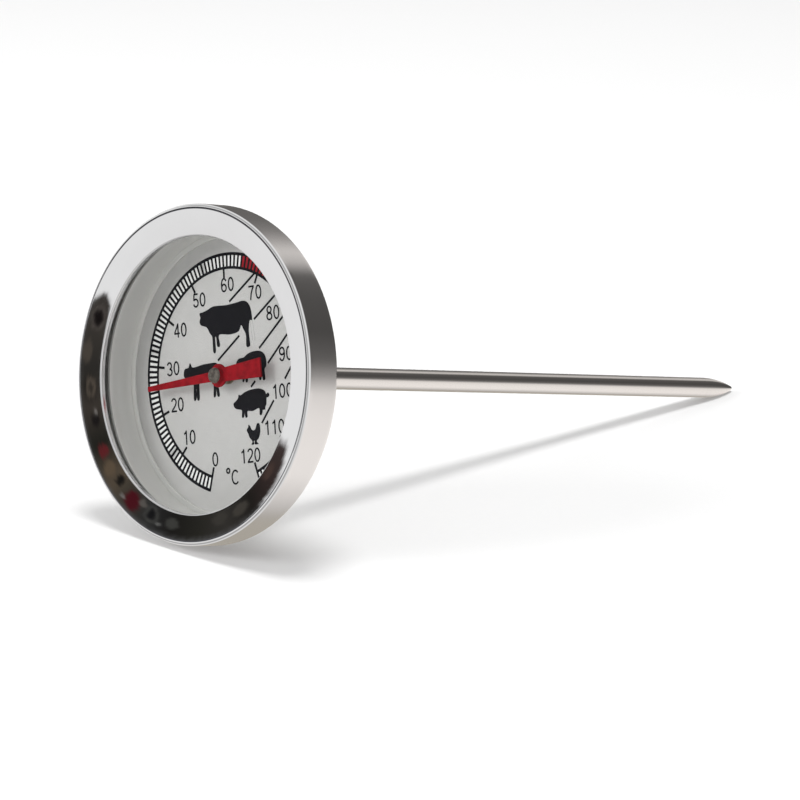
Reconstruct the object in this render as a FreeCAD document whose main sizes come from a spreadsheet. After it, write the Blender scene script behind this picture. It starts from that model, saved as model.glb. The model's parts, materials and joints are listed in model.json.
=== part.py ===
"""Bimetal roasting thermometer, 0 to 120 degrees C, as a parametric FreeCAD document.

Every round piece is drawn about one instrument axis: x is the radius and z the depth behind the
front plane of the bezel, growing towards the point of the stem. One placement then lays the whole
instrument down as it rests on a table, on the rear roll of the bezel and the point of the stem.
Millimetres and degrees throughout.
"""

import FreeCAD, Part
import math
import os

import Sketcher

Vector = FreeCAD.Vector
os.makedirs("parts", exist_ok=True)
doc = FreeCAD.newDocument("roasting_thermometer")
sheet = doc.addObject("Spreadsheet::Sheet", "dims")


class Size:
    """A number together with the spreadsheet expression that gives it."""

    def __init__(self, value, text):
        self.value = value
        self.text = text

    def __add__(self, other):
        return Size(self.value + number(other), f"({self.text} + {text(other)})")

    def __sub__(self, other):
        return Size(self.value - number(other), f"({self.text} - {text(other)})")

    def __mul__(self, other):
        return Size(self.value * number(other), f"({self.text} * {text(other)})")

    def __truediv__(self, other):
        return Size(self.value / number(other), f"({self.text} / {text(other)})")


def number(size):
    """The plain value of a size or a number."""
    return size.value if isinstance(size, Size) else float(size)


def text(size):
    """The expression of a size or a number."""
    return size.text if isinstance(size, Size) else repr(float(size))


def cell(alias, value):
    """Write one driving dimension into the next row of the sheet and return it as a Size."""
    cell.row += 1
    sheet.set(f"A{cell.row}", alias)
    sheet.set(f"B{cell.row}", str(value))
    sheet.setAlias(f"B{cell.row}", alias)
    return Size(float(value), f"dims.{alias}")


cell.row = 0

# ---------------------------------------------------------------- driving dimensions

# bezel ring
CASE_RADIUS = cell("case_radius", 26.0)
SHEET = cell("sheet", 0.5)
EDGE_ROUND = cell("edge_round", 0.7)
SIDE_END = cell("side_end", 4.4)
REAR_ROLL = cell("rear_roll", 3.1)
WINDOW_RADIUS = cell("window_radius", 21.15)
DISH_DEPTH = cell("dish_depth", 0.75)
LIP_ROUND = cell("lip_round", 0.4)
LIP_TAIL = cell("lip_tail", 0.3)

# window and its seal
GLASS_THICKNESS = cell("glass_thickness", 1.2)
GASKET_LEG = cell("gasket_leg", 0.3)
GASKET_WEB = cell("gasket_web", 0.75)
GASKET_SET_BACK = cell("gasket_set_back", 0.95)

# inner wall and dial
SPACER_SHEET = cell("spacer_sheet", 0.35)
DIAL_DEPTH = cell("dial_depth", 8.2)
DIAL_THICKNESS = cell("dial_thickness", 0.5)
RETAINER_HEIGHT = cell("retainer_height", 0.3)
RETAINER_OVERLAP = cell("retainer_overlap", 0.5)
SEAT_GAP = cell("seat_gap", 0.05)

# case back
BACK_SHEET = cell("back_sheet", 0.4)
BACK_ROUND_SHARE = cell("back_round_share", 0.4661)
BOSS_RADIUS = cell("boss_radius", 7.0)
BOSS_DEPTH = cell("boss_depth", 1.8)
SEAT_REACH = cell("seat_reach", 0.43)
SEAT_RISE = cell("seat_rise", 0.9)

# stem
STEM_LENGTH = cell("stem_length", 120.6)
STEM_RADIUS = cell("stem_radius", 1.75)
TUBE_WALL = cell("tube_wall", 0.25)
SWAGE_STEP = cell("swage_step", 0.25)
POINT_LENGTH = cell("point_length", 8.4)
POINT_NOSE = cell("point_nose", 0.4)
SPIGOT_LENGTH = cell("spigot_length", 4.0)
BUSH_RADIUS = cell("bush_radius", 2.6)
BUSH_HEAD_RADIUS = cell("bush_head_radius", 4.2)
BUSH_HEAD_HEIGHT = cell("bush_head_height", 1.0)
BUSH_NECK = cell("bush_neck", 4.4)
CLAMP_RADIUS = cell("clamp_radius", 4.4)
CLAMP_HEIGHT = cell("clamp_height", 2.0)

# movement
SPINDLE_RADIUS = cell("spindle_radius", 0.5)
RUNNING_GAP = cell("running_gap", 0.05)
GUIDE_LENGTH = cell("guide_length", 3.0)
COIL_LENGTH = cell("coil_length", 32.0)
COIL_PITCH = cell("coil_pitch", 1.6)
STRIP_WIDTH = cell("strip_width", 1.1)
STRIP_THICKNESS = cell("strip_thickness", 0.25)
COIL_GAP = cell("coil_gap", 0.15)
COLLAR_LENGTH = cell("collar_length", 3.0)
ANCHOR_LENGTH = cell("anchor_length", 3.0)
END_GAP = cell("end_gap", 0.1)
DIAL_BUSH_RADIUS = cell("dial_bush_radius", 1.3)
DIAL_BUSH_FLANGE = cell("dial_bush_flange", 1.9)
DIAL_BUSH_HEAD = cell("dial_bush_head", 0.5)
DIAL_BUSH_RISE = cell("dial_bush_rise", 0.3)

# pointer
POINTER_LIFT = cell("pointer_lift", 2.0)
POINTER_THICKNESS = cell("pointer_thickness", 0.3)
POINTER_REACH = cell("pointer_reach", 16.1)
POINTER_TAIL = cell("pointer_tail", 9.4)
POINTER_TIP_WIDTH = cell("pointer_tip_width", 0.8)
POINTER_ROOT_WIDTH = cell("pointer_root_width", 1.6)
TAIL_ROOT_WIDTH = cell("tail_root_width", 2.0)
TAIL_END_WIDTH = cell("tail_end_width", 3.0)
POINTER_PAD_RADIUS = cell("pointer_pad_radius", 1.8)
HUB_RADIUS = cell("hub_radius", 1.2)
HUB_CAP_SHARE = cell("hub_cap_share", 0.5)
HUB_CAP_CHAMFER = cell("hub_cap_chamfer", 0.25)
HUB_FLANGE_RADIUS = cell("hub_flange_radius", 1.5)
HUB_FLANGE_HEIGHT = cell("hub_flange_height", 0.6)
POINTER_ANGLE = cell("pointer_angle", 198.2)

# ---------------------------------------------------------------- places worked out from them

ZERO = Size(0.0, "0")
side_inner = CASE_RADIUS - SHEET
roll_centre = CASE_RADIUS - REAR_ROLL
roll_inner = REAR_ROLL - SHEET
flange_edge = CASE_RADIUS - EDGE_ROUND
lip_outer = WINDOW_RADIUS + SHEET
lip_start = DISH_DEPTH + LIP_ROUND
lip_end = DISH_DEPTH + SHEET + LIP_TAIL
gasket_radius = WINDOW_RADIUS + GASKET_SET_BACK
glass_radius = side_inner - GASKET_WEB
glass_front = lip_end + GASKET_LEG
glass_back = glass_front + GLASS_THICKNESS
gasket_back = glass_back + GASKET_LEG
back_outer = roll_centre
back_bore = back_outer - BACK_SHEET
spacer_outer = back_bore - SEAT_GAP
wall_radius = spacer_outer - SPACER_SHEET
dial_back = DIAL_DEPTH + DIAL_THICKNESS
retainer_front = DIAL_DEPTH - RETAINER_HEIGHT
case_depth = dial_back + BACK_SHEET
seat_radius = roll_centre + roll_inner * SEAT_REACH
seat_back = SIDE_END + roll_inner * SEAT_RISE
back_round = (case_depth - seat_back) * BACK_ROUND_SHARE
round_centre = case_depth - back_round
round_radius = back_outer - back_round
dial_radius = round_radius
boss_floor = dial_back + BOSS_DEPTH
boss_back = boss_floor + BACK_SHEET
bush_top = boss_floor - BUSH_HEAD_HEIGHT
bush_end = boss_floor + BUSH_NECK
stem_end = case_depth + STEM_LENGTH
tube_end = stem_end - POINT_LENGTH
tube_bore = STEM_RADIUS - TUBE_WALL
swage_radius = STEM_RADIUS - SWAGE_STEP
swage_bore = swage_radius - TUBE_WALL
spigot_start = tube_end - SPIGOT_LENGTH
anchor_end = spigot_start - END_GAP
anchor_start = anchor_end - ANCHOR_LENGTH
coil_start = anchor_start - COIL_LENGTH - STRIP_WIDTH
collar_end = coil_start - END_GAP
collar_start = collar_end - COLLAR_LENGTH
coil_outer = tube_bore - COIL_GAP
guide_bore = SPINDLE_RADIUS + RUNNING_GAP
lower_guide_end = collar_start - GUIDE_LENGTH
pointer_front = DIAL_DEPTH - POINTER_LIFT - POINTER_THICKNESS
pointer_back = pointer_front + POINTER_THICKNESS
hub_cap = (pointer_front - glass_back) * HUB_CAP_SHARE
hub_top = pointer_front - hub_cap
spindle_top = pointer_front - hub_cap / 2

# The point is an ogive: an arc that leaves the tube without a corner and runs into the nose.
nose_centre = stem_end - POINT_NOSE
ogive_reach = POINT_LENGTH - POINT_NOSE
ogive_swing = (
    STEM_RADIUS * STEM_RADIUS + ogive_reach * ogive_reach - POINT_NOSE * POINT_NOSE
) / ((STEM_RADIUS - POINT_NOSE) * 2)
ogive_centre = STEM_RADIUS - ogive_swing
nose_share = POINT_NOSE / (ogive_swing - POINT_NOSE)


def lying_pose():
    """The placement that lays the instrument on its bezel roll and its point.

    The circles of the roll and of the ogive both touch the floor, which gives the tilt of the
    axis. The origin is the centre of the bounding box on the floor, with the stem along +Y.
    """
    run = number(tube_end - SIDE_END)
    drop = number(roll_centre - ogive_centre)
    lift = number(REAR_ROLL - ogive_swing)
    tilt = math.atan2(drop, run) + math.asin(lift / math.hypot(run, drop))
    cosine, sine = math.cos(tilt), math.sin(tilt)
    edge = number(EDGE_ROUND)
    front = edge * cosine - number(flange_edge) * sine - edge
    back = number(nose_centre) * cosine + number(POINT_NOSE)
    height = number(SIDE_END) * sine + number(roll_centre) * cosine + number(REAR_ROLL)
    turn = FreeCAD.Rotation(Vector(1, 0, 0), -90.0 - math.degrees(tilt))
    return FreeCAD.Placement(Vector(0, -(front + back) / 2, height), turn)


POSE = lying_pose()
doc.recompute()

# ---------------------------------------------------------------- helpers


def origin_plane(body, role):
    """One of the body's own origin planes, such as XY_Plane."""
    return next(o for o in body.Origin.OriginFeatures if o.Role == role)


def new_body(label):
    """A PartDesign body with its own label, in the lying pose."""
    body = doc.addObject("PartDesign::Body", label)
    body.Label = label
    body.Placement = POSE
    return body


def new_sketch(body, name, role):
    """An empty sketch on one of the body's origin planes."""
    sketch = body.newObject("Sketcher::SketchObject", name)
    sketch.AttachmentSupport = (origin_plane(body, role), [""])
    sketch.MapMode = "FlatFace"
    return sketch


def pin_coordinate(sketch, kind, geometry, vertex, size):
    """Hold one coordinate of a vertex at a size from the sheet, or on the axis where it is zero."""
    if number(size) == 0.0:
        axis = -2 if kind == "DistanceX" else -1
        sketch.addConstraint(
            Sketcher.Constraint("PointOnObject", geometry, vertex, axis)
        )
        return
    index = sketch.addConstraint(
        Sketcher.Constraint(kind, -1, 1, geometry, vertex, number(size))
    )
    sketch.setExpression(f"Constraints[{index}]", text(size))


def pin(sketch, geometry, vertex, x, y):
    """Hold a vertex at (x, y)."""
    pin_coordinate(sketch, "DistanceX", geometry, vertex, x)
    pin_coordinate(sketch, "DistanceY", geometry, vertex, y)


def draw_outline(sketch, points):
    """Draw a closed outline through points (x, y), straight between neighbours.

    A point may carry a third entry, the centre (x, y) of an arc that runs from it to the next
    point. The arc's radius follows from its centre and its first point, so one coordinate of
    its last point is enough: its height where the arc starts straight above or below the
    centre, and its distance from the axis otherwise.
    """
    count = len(points)
    starts, ends = [], []
    for i, point in enumerate(points):
        here = Vector(number(point[0]), number(point[1]), 0)
        after = points[(i + 1) % count]
        there = Vector(number(after[0]), number(after[1]), 0)
        if len(point) == 2:
            sketch.addGeometry(Part.LineSegment(here, there), False)
            starts.append(1)
            ends.append(2)
            continue
        centre = Vector(number(point[2][0]), number(point[2][1]), 0)
        first = math.atan2(here.y - centre.y, here.x - centre.x)
        last = math.atan2(there.y - centre.y, there.x - centre.x)
        forward = (last - first) % (2 * math.pi) < math.pi
        low, high = (first, last) if forward else (last, first)
        circle = Part.Circle(centre, Vector(0, 0, 1), here.distanceToPoint(centre))
        sketch.addGeometry(Part.ArcOfCircle(circle, low, high), False)
        starts.append(1 if forward else 2)
        ends.append(2 if forward else 1)
    for i in range(count):
        after = (i + 1) % count
        sketch.addConstraint(
            Sketcher.Constraint("Coincident", i, ends[i], after, starts[after])
        )
    for i, point in enumerate(points):
        before = points[i - 1]
        if len(before) == 2:
            pin(sketch, i, starts[i], point[0], point[1])
        elif number(before[0]) == number(before[2][0]):
            pin_coordinate(sketch, "DistanceY", i, starts[i], point[1])
        else:
            pin_coordinate(sketch, "DistanceX", i, starts[i], point[0])
        if len(point) == 3:
            pin(sketch, i, 3, point[2][0], point[2][1])


def turned(label, points):
    """A body turned from an outline of (radius, depth) points about the instrument axis."""
    body = new_body(label)
    sketch = new_sketch(body, f"{label}_outline", "XZ_Plane")
    draw_outline(sketch, points)
    revolution = body.newObject("PartDesign::Revolution", f"{label}_turned")
    revolution.Profile = sketch
    revolution.ReferenceAxis = (sketch, ["V_Axis"])
    revolution.Angle = 360
    sketch.Visibility = False
    return body


def ring(label, bore, radius, front, back):
    """A plain turned ring, bush or tube."""
    return turned(
        label, [(bore, front), (radius, front), (radius, back), (bore, back)]
    )


def disc(label, radius, front, back):
    """A plain solid disc or plug."""
    return ring(label, ZERO, radius, front, back)


# ---------------------------------------------------------------- case


def bezel_ring():
    """Deep-drawn front ring: dished mirror flange, turned-in window lip, side and rear roll."""
    turned(
        "bezel_ring",
        [
            (WINDOW_RADIUS, lip_end),
            (WINDOW_RADIUS, lip_start),
            (WINDOW_RADIUS + LIP_ROUND, DISH_DEPTH),
            (flange_edge, ZERO, (flange_edge, EDGE_ROUND)),
            (CASE_RADIUS, EDGE_ROUND),
            (CASE_RADIUS, SIDE_END, (roll_centre, SIDE_END)),
            (roll_centre, SIDE_END + REAR_ROLL),
            (roll_centre, SIDE_END + roll_inner, (roll_centre, SIDE_END)),
            (side_inner, SIDE_END),
            (side_inner, SHEET),
            (lip_outer, DISH_DEPTH + SHEET),
            (lip_outer, lip_end),
        ],
    )


def lens_gasket():
    """Black channel ring that holds the glass edge and shows as a thin dark rim."""
    turned(
        "lens_gasket",
        [
            (gasket_radius, lip_end),
            (lip_outer, lip_end),
            (lip_outer, DISH_DEPTH + SHEET),
            (side_inner, SHEET),
            (side_inner, gasket_back),
            (gasket_radius, gasket_back),
            (gasket_radius, glass_back),
            (glass_radius, glass_back),
            (glass_radius, glass_front),
            (gasket_radius, glass_front),
        ],
    )


def spacer_ring():
    """Satin inner wall: a sleeve with a flange that carries the gasket."""
    flange = side_inner - SEAT_GAP * 2
    turned(
        "spacer_ring",
        [
            (wall_radius, gasket_back),
            (flange, gasket_back),
            (flange, gasket_back + SPACER_SHEET),
            (spacer_outer, gasket_back + SPACER_SHEET),
            (spacer_outer, retainer_front),
            (wall_radius, retainer_front),
        ],
    )


def case_back():
    """Drawn cup behind the dial, with an outer seat for the bezel roll and a boss for the stem."""
    turned(
        "case_back",
        [
            (BUSH_RADIUS, boss_floor),
            (BOSS_RADIUS, boss_floor),
            (BOSS_RADIUS, dial_back),
            (round_radius, dial_back, (round_radius, round_centre)),
            (back_bore, round_centre),
            (back_bore, seat_back - BACK_SHEET),
            (seat_radius, seat_back - BACK_SHEET),
            (seat_radius, seat_back),
            (back_outer, seat_back),
            (back_outer, round_centre, (round_radius, round_centre)),
            (round_radius, case_depth),
            (BOSS_RADIUS + BACK_SHEET, case_depth),
            (BOSS_RADIUS + BACK_SHEET, boss_back),
            (BUSH_RADIUS, boss_back),
        ],
    )


def dial_bush():
    """Flanged bush in the middle of the dial that steadies the spindle."""
    dial_bush_end = dial_back + DIAL_BUSH_HEAD
    turned(
        "dial_bush",
        [
            (guide_bore, DIAL_DEPTH - DIAL_BUSH_RISE),
            (DIAL_BUSH_RADIUS, DIAL_DEPTH - DIAL_BUSH_RISE),
            (DIAL_BUSH_RADIUS, dial_back),
            (DIAL_BUSH_FLANGE, dial_back),
            (DIAL_BUSH_FLANGE, dial_bush_end),
            (guide_bore, dial_bush_end),
        ],
    )


# ---------------------------------------------------------------- stem


def stem_bush():
    """Headed bush through the boss of the case back; the stem tube is pressed into it."""
    turned(
        "stem_bush",
        [
            (swage_radius, bush_top),
            (BUSH_HEAD_RADIUS, bush_top),
            (BUSH_HEAD_RADIUS, boss_floor),
            (BUSH_RADIUS, boss_floor),
            (BUSH_RADIUS, bush_end),
            (swage_radius, bush_end),
        ],
    )


def stem_tube():
    """Thin tube whose front end is swaged down to fit the bush, with a shoulder against it."""
    turned(
        "stem_tube",
        [
            (swage_bore, bush_top),
            (swage_radius, bush_top),
            (swage_radius, bush_end),
            (STEM_RADIUS, bush_end),
            (STEM_RADIUS, tube_end),
            (tube_bore, tube_end),
            (tube_bore, bush_end + TUBE_WALL),
            (swage_bore, bush_end + TUBE_WALL),
        ],
    )


def stem_tip():
    """Solid point: a spigot in the tube, an ogive and a small round nose."""
    turned(
        "stem_tip",
        [
            (ZERO, spigot_start),
            (tube_bore, spigot_start),
            (tube_bore, tube_end),
            (STEM_RADIUS, tube_end, (ogive_centre, tube_end)),
            (
                (ZERO - ogive_centre) * nose_share,
                nose_centre + ogive_reach * nose_share,
                (ZERO, nose_centre),
            ),
            (ZERO, stem_end),
        ],
    )


# ---------------------------------------------------------------- movement


def bimetal_coil():
    """Helix of bimetal strip between the anchor in the tube and the collar on the spindle."""
    body = new_body("bimetal_coil")
    sketch = new_sketch(body, "strip_section", "XZ_Plane")
    draw_outline(
        sketch,
        [
            (coil_outer - STRIP_THICKNESS, coil_start),
            (coil_outer, coil_start),
            (coil_outer, coil_start + STRIP_WIDTH),
            (coil_outer - STRIP_THICKNESS, coil_start + STRIP_WIDTH),
        ],
    )
    helix = body.newObject("PartDesign::AdditiveHelix", "coil_turns")
    helix.Profile = sketch
    helix.ReferenceAxis = (sketch, ["V_Axis"])
    helix.Mode = 0
    helix.setExpression("Pitch", text(COIL_PITCH))
    helix.setExpression("Height", text(COIL_LENGTH))
    sketch.Visibility = False


def pointer():
    """Flat red pointer: long tapered needle, round pad and a broad counterweight tail."""
    body = new_body("pointer")
    body.Placement = POSE * FreeCAD.Placement(
        Vector(0, 0, 0), FreeCAD.Rotation(Vector(0, 0, 1), -number(POINTER_ANGLE))
    )

    def plate(name, draw):
        sketch = new_sketch(body, name, "XY_Plane")
        sketch.setExpression("AttachmentOffset.Base.z", text(pointer_front))
        draw(sketch)
        pad = body.newObject("PartDesign::Pad", f"{name}_pad")
        pad.Profile = sketch
        pad.setExpression("Length", text(POINTER_THICKNESS))
        sketch.Visibility = False
        return pad

    def blade(reach, end_width, root_width):
        half_end, half_root = end_width / 2, root_width / 2
        return [
            (ZERO, ZERO - half_root),
            (reach, ZERO - half_end),
            (reach, half_end),
            (ZERO, half_root),
        ]

    def pad_circle(sketch):
        circle = Part.Circle(Vector(0, 0, 0), Vector(0, 0, 1), number(POINTER_PAD_RADIUS))
        sketch.addGeometry(circle, False)
        sketch.addConstraint(Sketcher.Constraint("Coincident", 0, 3, -1, 1))
        index = sketch.addConstraint(
            Sketcher.Constraint("Radius", 0, number(POINTER_PAD_RADIUS))
        )
        sketch.setExpression(f"Constraints[{index}]", text(POINTER_PAD_RADIUS))

    needle = blade(POINTER_REACH, POINTER_TIP_WIDTH, POINTER_ROOT_WIDTH)
    tail = blade(ZERO - POINTER_TAIL, TAIL_END_WIDTH, TAIL_ROOT_WIDTH)
    plate("round_pad", pad_circle)
    plate("needle", lambda sketch: draw_outline(sketch, needle))
    plate("tail", lambda sketch: draw_outline(sketch, tail))
    doc.recompute()
    hole_sketch = new_sketch(body, "hub_seat", "XY_Plane")
    hole_sketch.setExpression("AttachmentOffset.Base.z", text(pointer_front))
    hole_sketch.addGeometry(
        Part.Circle(Vector(0, 0, 0), Vector(0, 0, 1), number(HUB_RADIUS)), False
    )
    hole_sketch.addConstraint(Sketcher.Constraint("Coincident", 0, 3, -1, 1))
    index = hole_sketch.addConstraint(Sketcher.Constraint("Radius", 0, number(HUB_RADIUS)))
    hole_sketch.setExpression(f"Constraints[{index}]", text(HUB_RADIUS))
    hole = body.newObject("PartDesign::Pocket", "hub_hole")
    hole.Profile = hole_sketch
    hole.Type = 1
    hole.Midplane = True
    hole_sketch.Visibility = False


def pointer_hub():
    """Silver hub riveted through the pointer, closed in front and pressed on the spindle."""
    hub_end = pointer_back + HUB_FLANGE_HEIGHT
    turned(
        "pointer_hub",
        [
            (ZERO, hub_top),
            (HUB_RADIUS - HUB_CAP_CHAMFER, hub_top),
            (HUB_RADIUS, hub_top + HUB_CAP_CHAMFER),
            (HUB_RADIUS, pointer_back),
            (HUB_FLANGE_RADIUS, pointer_back),
            (HUB_FLANGE_RADIUS, hub_end),
            (SPINDLE_RADIUS, hub_end),
            (SPINDLE_RADIUS, spindle_top),
            (ZERO, spindle_top),
        ],
    )


# ---------------------------------------------------------------- build

bezel_ring()
lens_gasket()
disc("glass_lens", glass_radius, glass_front, glass_back)
spacer_ring()
ring(
    "dial_retainer",
    dial_radius - RETAINER_OVERLAP,
    back_bore - SEAT_GAP * 2,
    retainer_front,
    DIAL_DEPTH,
)
ring("dial_plate", DIAL_BUSH_RADIUS, dial_radius, DIAL_DEPTH, dial_back)
dial_bush()
case_back()
stem_bush()
ring("clamp_ring", BUSH_RADIUS, CLAMP_RADIUS, boss_back, boss_back + CLAMP_HEIGHT)
stem_tube()
stem_tip()
ring("upper_guide", guide_bore, swage_bore, bush_top, bush_top + GUIDE_LENGTH)
ring("lower_guide", guide_bore, tube_bore, lower_guide_end - GUIDE_LENGTH, lower_guide_end)
disc("coil_anchor", tube_bore, anchor_start, anchor_end)
bimetal_coil()
ring("coil_collar", SPINDLE_RADIUS, coil_outer, collar_start, collar_end)
disc("spindle", SPINDLE_RADIUS, spindle_top, collar_end)
pointer()
pointer_hub()
doc.recompute()

# ---------------------------------------------------------------- check and export

SUB_PARTS = [o for o in doc.Objects if o.TypeId in ("PartDesign::Body", "Part::Feature")]
for item in doc.Objects:
    if {"Invalid", "Error"} & set(item.State):
        raise RuntimeError(f"{item.Label} did not build: {item.State}")
for part in SUB_PARTS:
    if part.Shape.isNull() or not part.Shape.isValid():
        raise RuntimeError(f"{part.Label} is not a valid shape")
    part.Shape.exportStep(f"parts/{part.Label}.step")
print(f"{len(SUB_PARTS)} sub-parts written")
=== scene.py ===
"""Looks of a dial roasting thermometer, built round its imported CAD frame.

Lengths in the sub-assemblies are millimetres about the instrument axis: a radius, and a depth
behind the front plane of the bezel that grows towards the point of the stem. A face position on
the dial is (across, up) as the reader sees it. Axis turns all of them into metres in the frame.
"""

import json
import logging
import math
from dataclasses import dataclass, field
from enum import Enum
from typing import Any, Callable, Mapping, Sequence, Union

import bmesh
import bpy
import numpy as np
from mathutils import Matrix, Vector


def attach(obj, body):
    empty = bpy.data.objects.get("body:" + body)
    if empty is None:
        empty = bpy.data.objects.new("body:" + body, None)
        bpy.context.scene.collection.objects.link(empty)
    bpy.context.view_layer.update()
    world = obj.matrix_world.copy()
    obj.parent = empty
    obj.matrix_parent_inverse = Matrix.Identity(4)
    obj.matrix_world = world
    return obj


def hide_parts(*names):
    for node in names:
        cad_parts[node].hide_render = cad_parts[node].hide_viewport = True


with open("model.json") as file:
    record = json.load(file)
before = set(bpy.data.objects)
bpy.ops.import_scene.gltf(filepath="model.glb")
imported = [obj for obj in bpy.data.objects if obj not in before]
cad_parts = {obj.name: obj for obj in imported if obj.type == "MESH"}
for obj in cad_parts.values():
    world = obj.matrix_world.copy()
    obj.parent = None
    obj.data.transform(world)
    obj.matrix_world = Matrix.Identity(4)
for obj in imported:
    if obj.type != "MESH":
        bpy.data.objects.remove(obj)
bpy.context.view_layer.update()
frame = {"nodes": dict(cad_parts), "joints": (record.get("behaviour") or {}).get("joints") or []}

MM = 0.001
LOG = logging.getLogger("thermometer")

Colour = tuple[float, float, float]
Number = Union[float, "Value"]
Corner = tuple[float, float, float]
Faces = list[tuple[int, ...]]


class Body(Enum):
    """The two bodies that the hinge joins."""

    CASE = "case"
    MOVEMENT = "movement"


class Seam(Enum):
    """How a turned outline closes."""

    LOOP = "loop"
    POLES = "poles"


# ---------------------------------------------------------------- the instrument axis


@dataclass(frozen=True)
class Span:
    """How far a CAD node reaches about the axis, in mm."""

    inner: float
    outer: float
    front: float
    back: float


@dataclass(frozen=True)
class Axis:
    """The instrument axis, with the dial's own across and up directions."""

    centre: np.ndarray
    along: np.ndarray
    across: np.ndarray
    up: np.ndarray

    @classmethod
    def from_joint(cls, joint: Mapping[str, Any]) -> "Axis":
        """Read the axis from the pointer's hinge, which starts at the middle of the front plane.

        Args:
            joint: The hinge as the record gives it.

        Returns:
            The axis, whose across direction is level.
        """
        along = np.array(joint["axis"], float)
        along /= np.linalg.norm(along)
        across = np.cross((0.0, 0.0, 1.0), along)
        across /= -np.linalg.norm(across)
        return cls(np.array(joint["pos_m"], float), along, across, np.cross(across, along))

    def face(self, across: np.ndarray, up: np.ndarray, depth: np.ndarray) -> np.ndarray:
        """Points in metres: centre + across * x + up * y + along * depth."""
        flat = [np.asarray(part, float)[..., None] * MM for part in (across, up, depth)]
        return self.centre + flat[0] * self.across + flat[1] * self.up + flat[2] * self.along

    def round(self, radius: np.ndarray, angle: np.ndarray, depth: np.ndarray) -> np.ndarray:
        """Points in metres at a radius, an angle from across towards up, and a depth."""
        return self.face(radius * np.cos(angle), radius * np.sin(angle), depth)

    def span(self, node: str) -> Span:
        """Measure a CAD node about the axis.

        Args:
            node: The node's name.

        Returns:
            Its least and greatest radius and depth.
        """
        mesh = frame["nodes"][node].data
        places = np.empty(len(mesh.vertices) * 3, np.float32)
        mesh.vertices.foreach_get("co", places)
        offset = places.reshape(-1, 3).astype(float) - self.centre
        depth = offset @ self.along
        radius = np.linalg.norm(offset - depth[:, None] * self.along, axis=1)
        ends = radius.min(), radius.max(), depth.min(), depth.max()
        return Span(*(float(end) / MM for end in ends))


# ---------------------------------------------------------------- shapes


def rounded(corners: Sequence[Corner], steps: int = 9) -> np.ndarray:
    """Round the corners of a closed outline with circular arcs.

    Each corner (x, y, cut) is left for an arc that touches both sides at a distance cut from it:
    the rational quadratic through the two touching points whose middle weight is the sine of half
    the angle between the sides, which is exactly a circle.

    Args:
        corners: The outline's corners in order.
        steps: Points on each arc.

    Returns:
        The outline as an array of (x, y).
    """
    table = np.array(corners, float)
    here, cut = table[:, :2], table[:, 2:3]
    before, after = np.roll(here, 1, axis=0) - here, np.roll(here, -1, axis=0) - here
    before /= np.linalg.norm(before, axis=1, keepdims=True)
    after /= np.linalg.norm(after, axis=1, keepdims=True)
    cosine = np.sum(before * after, axis=1, keepdims=True)
    weight = np.sqrt(np.clip((1.0 - cosine) / 2.0, 0.0, 1.0))[:, None]
    t = np.linspace(0.0, 1.0, steps)[None, :, None]
    first, last = (here + before * cut)[:, None], (here + after * cut)[:, None]
    low, middle, high = (1 - t) ** 2, 2 * t * (1 - t) * weight, t**2
    points = (low * first + middle * here[:, None] + high * last) / (low + middle + high)
    points = points.reshape(-1, 2)
    keep = np.linalg.norm(points - np.roll(points, 1, axis=0), axis=1) > 1e-6
    return points[keep]


def smoothed(points: Sequence[tuple[float, float]], steps: int = 6) -> np.ndarray:
    """Pass a closed Catmull-Rom curve through the points, with steps samples between neighbours."""
    p1 = np.array(points, float)[:, None]
    p0, p2, p3 = np.roll(p1, 1, axis=0), np.roll(p1, -1, axis=0), np.roll(p1, -2, axis=0)
    t = (np.arange(steps) / steps)[None, :, None]
    curve = p1 + t * (p2 - p0) / 2 + t**2 * (2 * p0 - 5 * p1 + 4 * p2 - p3) / 2
    return (curve + t**3 * (3 * p1 - p0 - 3 * p2 + p3) / 2).reshape(-1, 2)


def dimmed(colour: Colour, by: float) -> Colour:
    """A colour times a number."""
    return tuple(part * by for part in colour)


def mesh_of(name: str, places: np.ndarray, faces: Union[np.ndarray, Faces]) -> bpy.types.Mesh:
    """A mesh from an array of points, and from quads as an array or any faces as a list."""
    rows = faces.reshape(-1, 4).tolist() if isinstance(faces, np.ndarray) else faces
    mesh = bpy.data.meshes.new(name)
    mesh.from_pydata(places.reshape(-1, 3).tolist(), [], rows)
    return mesh


def finished(name: str, mesh: bpy.types.Mesh, sharp: float = 32.0) -> bpy.types.Object:
    """Merge doubles, face the mesh outwards, smooth it up to an angle and link it at the origin.

    Args:
        name: The piece's name.
        mesh: Its mesh, in metres in the frame.
        sharp: Edges that bend by more than this many degrees stay sharp.

    Returns:
        The new object.
    """
    work = bmesh.new()
    work.from_mesh(mesh)
    bmesh.ops.remove_doubles(work, verts=work.verts, dist=1e-8)
    bmesh.ops.recalc_face_normals(work, faces=work.faces)
    work.to_mesh(mesh)
    work.free()
    mesh.shade_smooth()
    mesh.set_sharp_from_angle(angle=math.radians(sharp))
    piece = bpy.data.objects.new(name, mesh)
    bpy.context.scene.collection.objects.link(piece)
    return piece


def grid_faces(rows: int, columns: int, wrap_rows: bool, wrap_columns: bool) -> np.ndarray:
    """Corner numbers of the quads of a rows by columns grid, closed on itself where asked."""
    i, j = np.meshgrid(
        np.arange(rows - (not wrap_rows)), np.arange(columns - (not wrap_columns)), indexing="ij"
    )
    here, above = i * columns, (i + 1) % rows * columns
    right = (j + 1) % columns
    return np.stack([here + j, here + right, above + right, above + j], -1)


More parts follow.
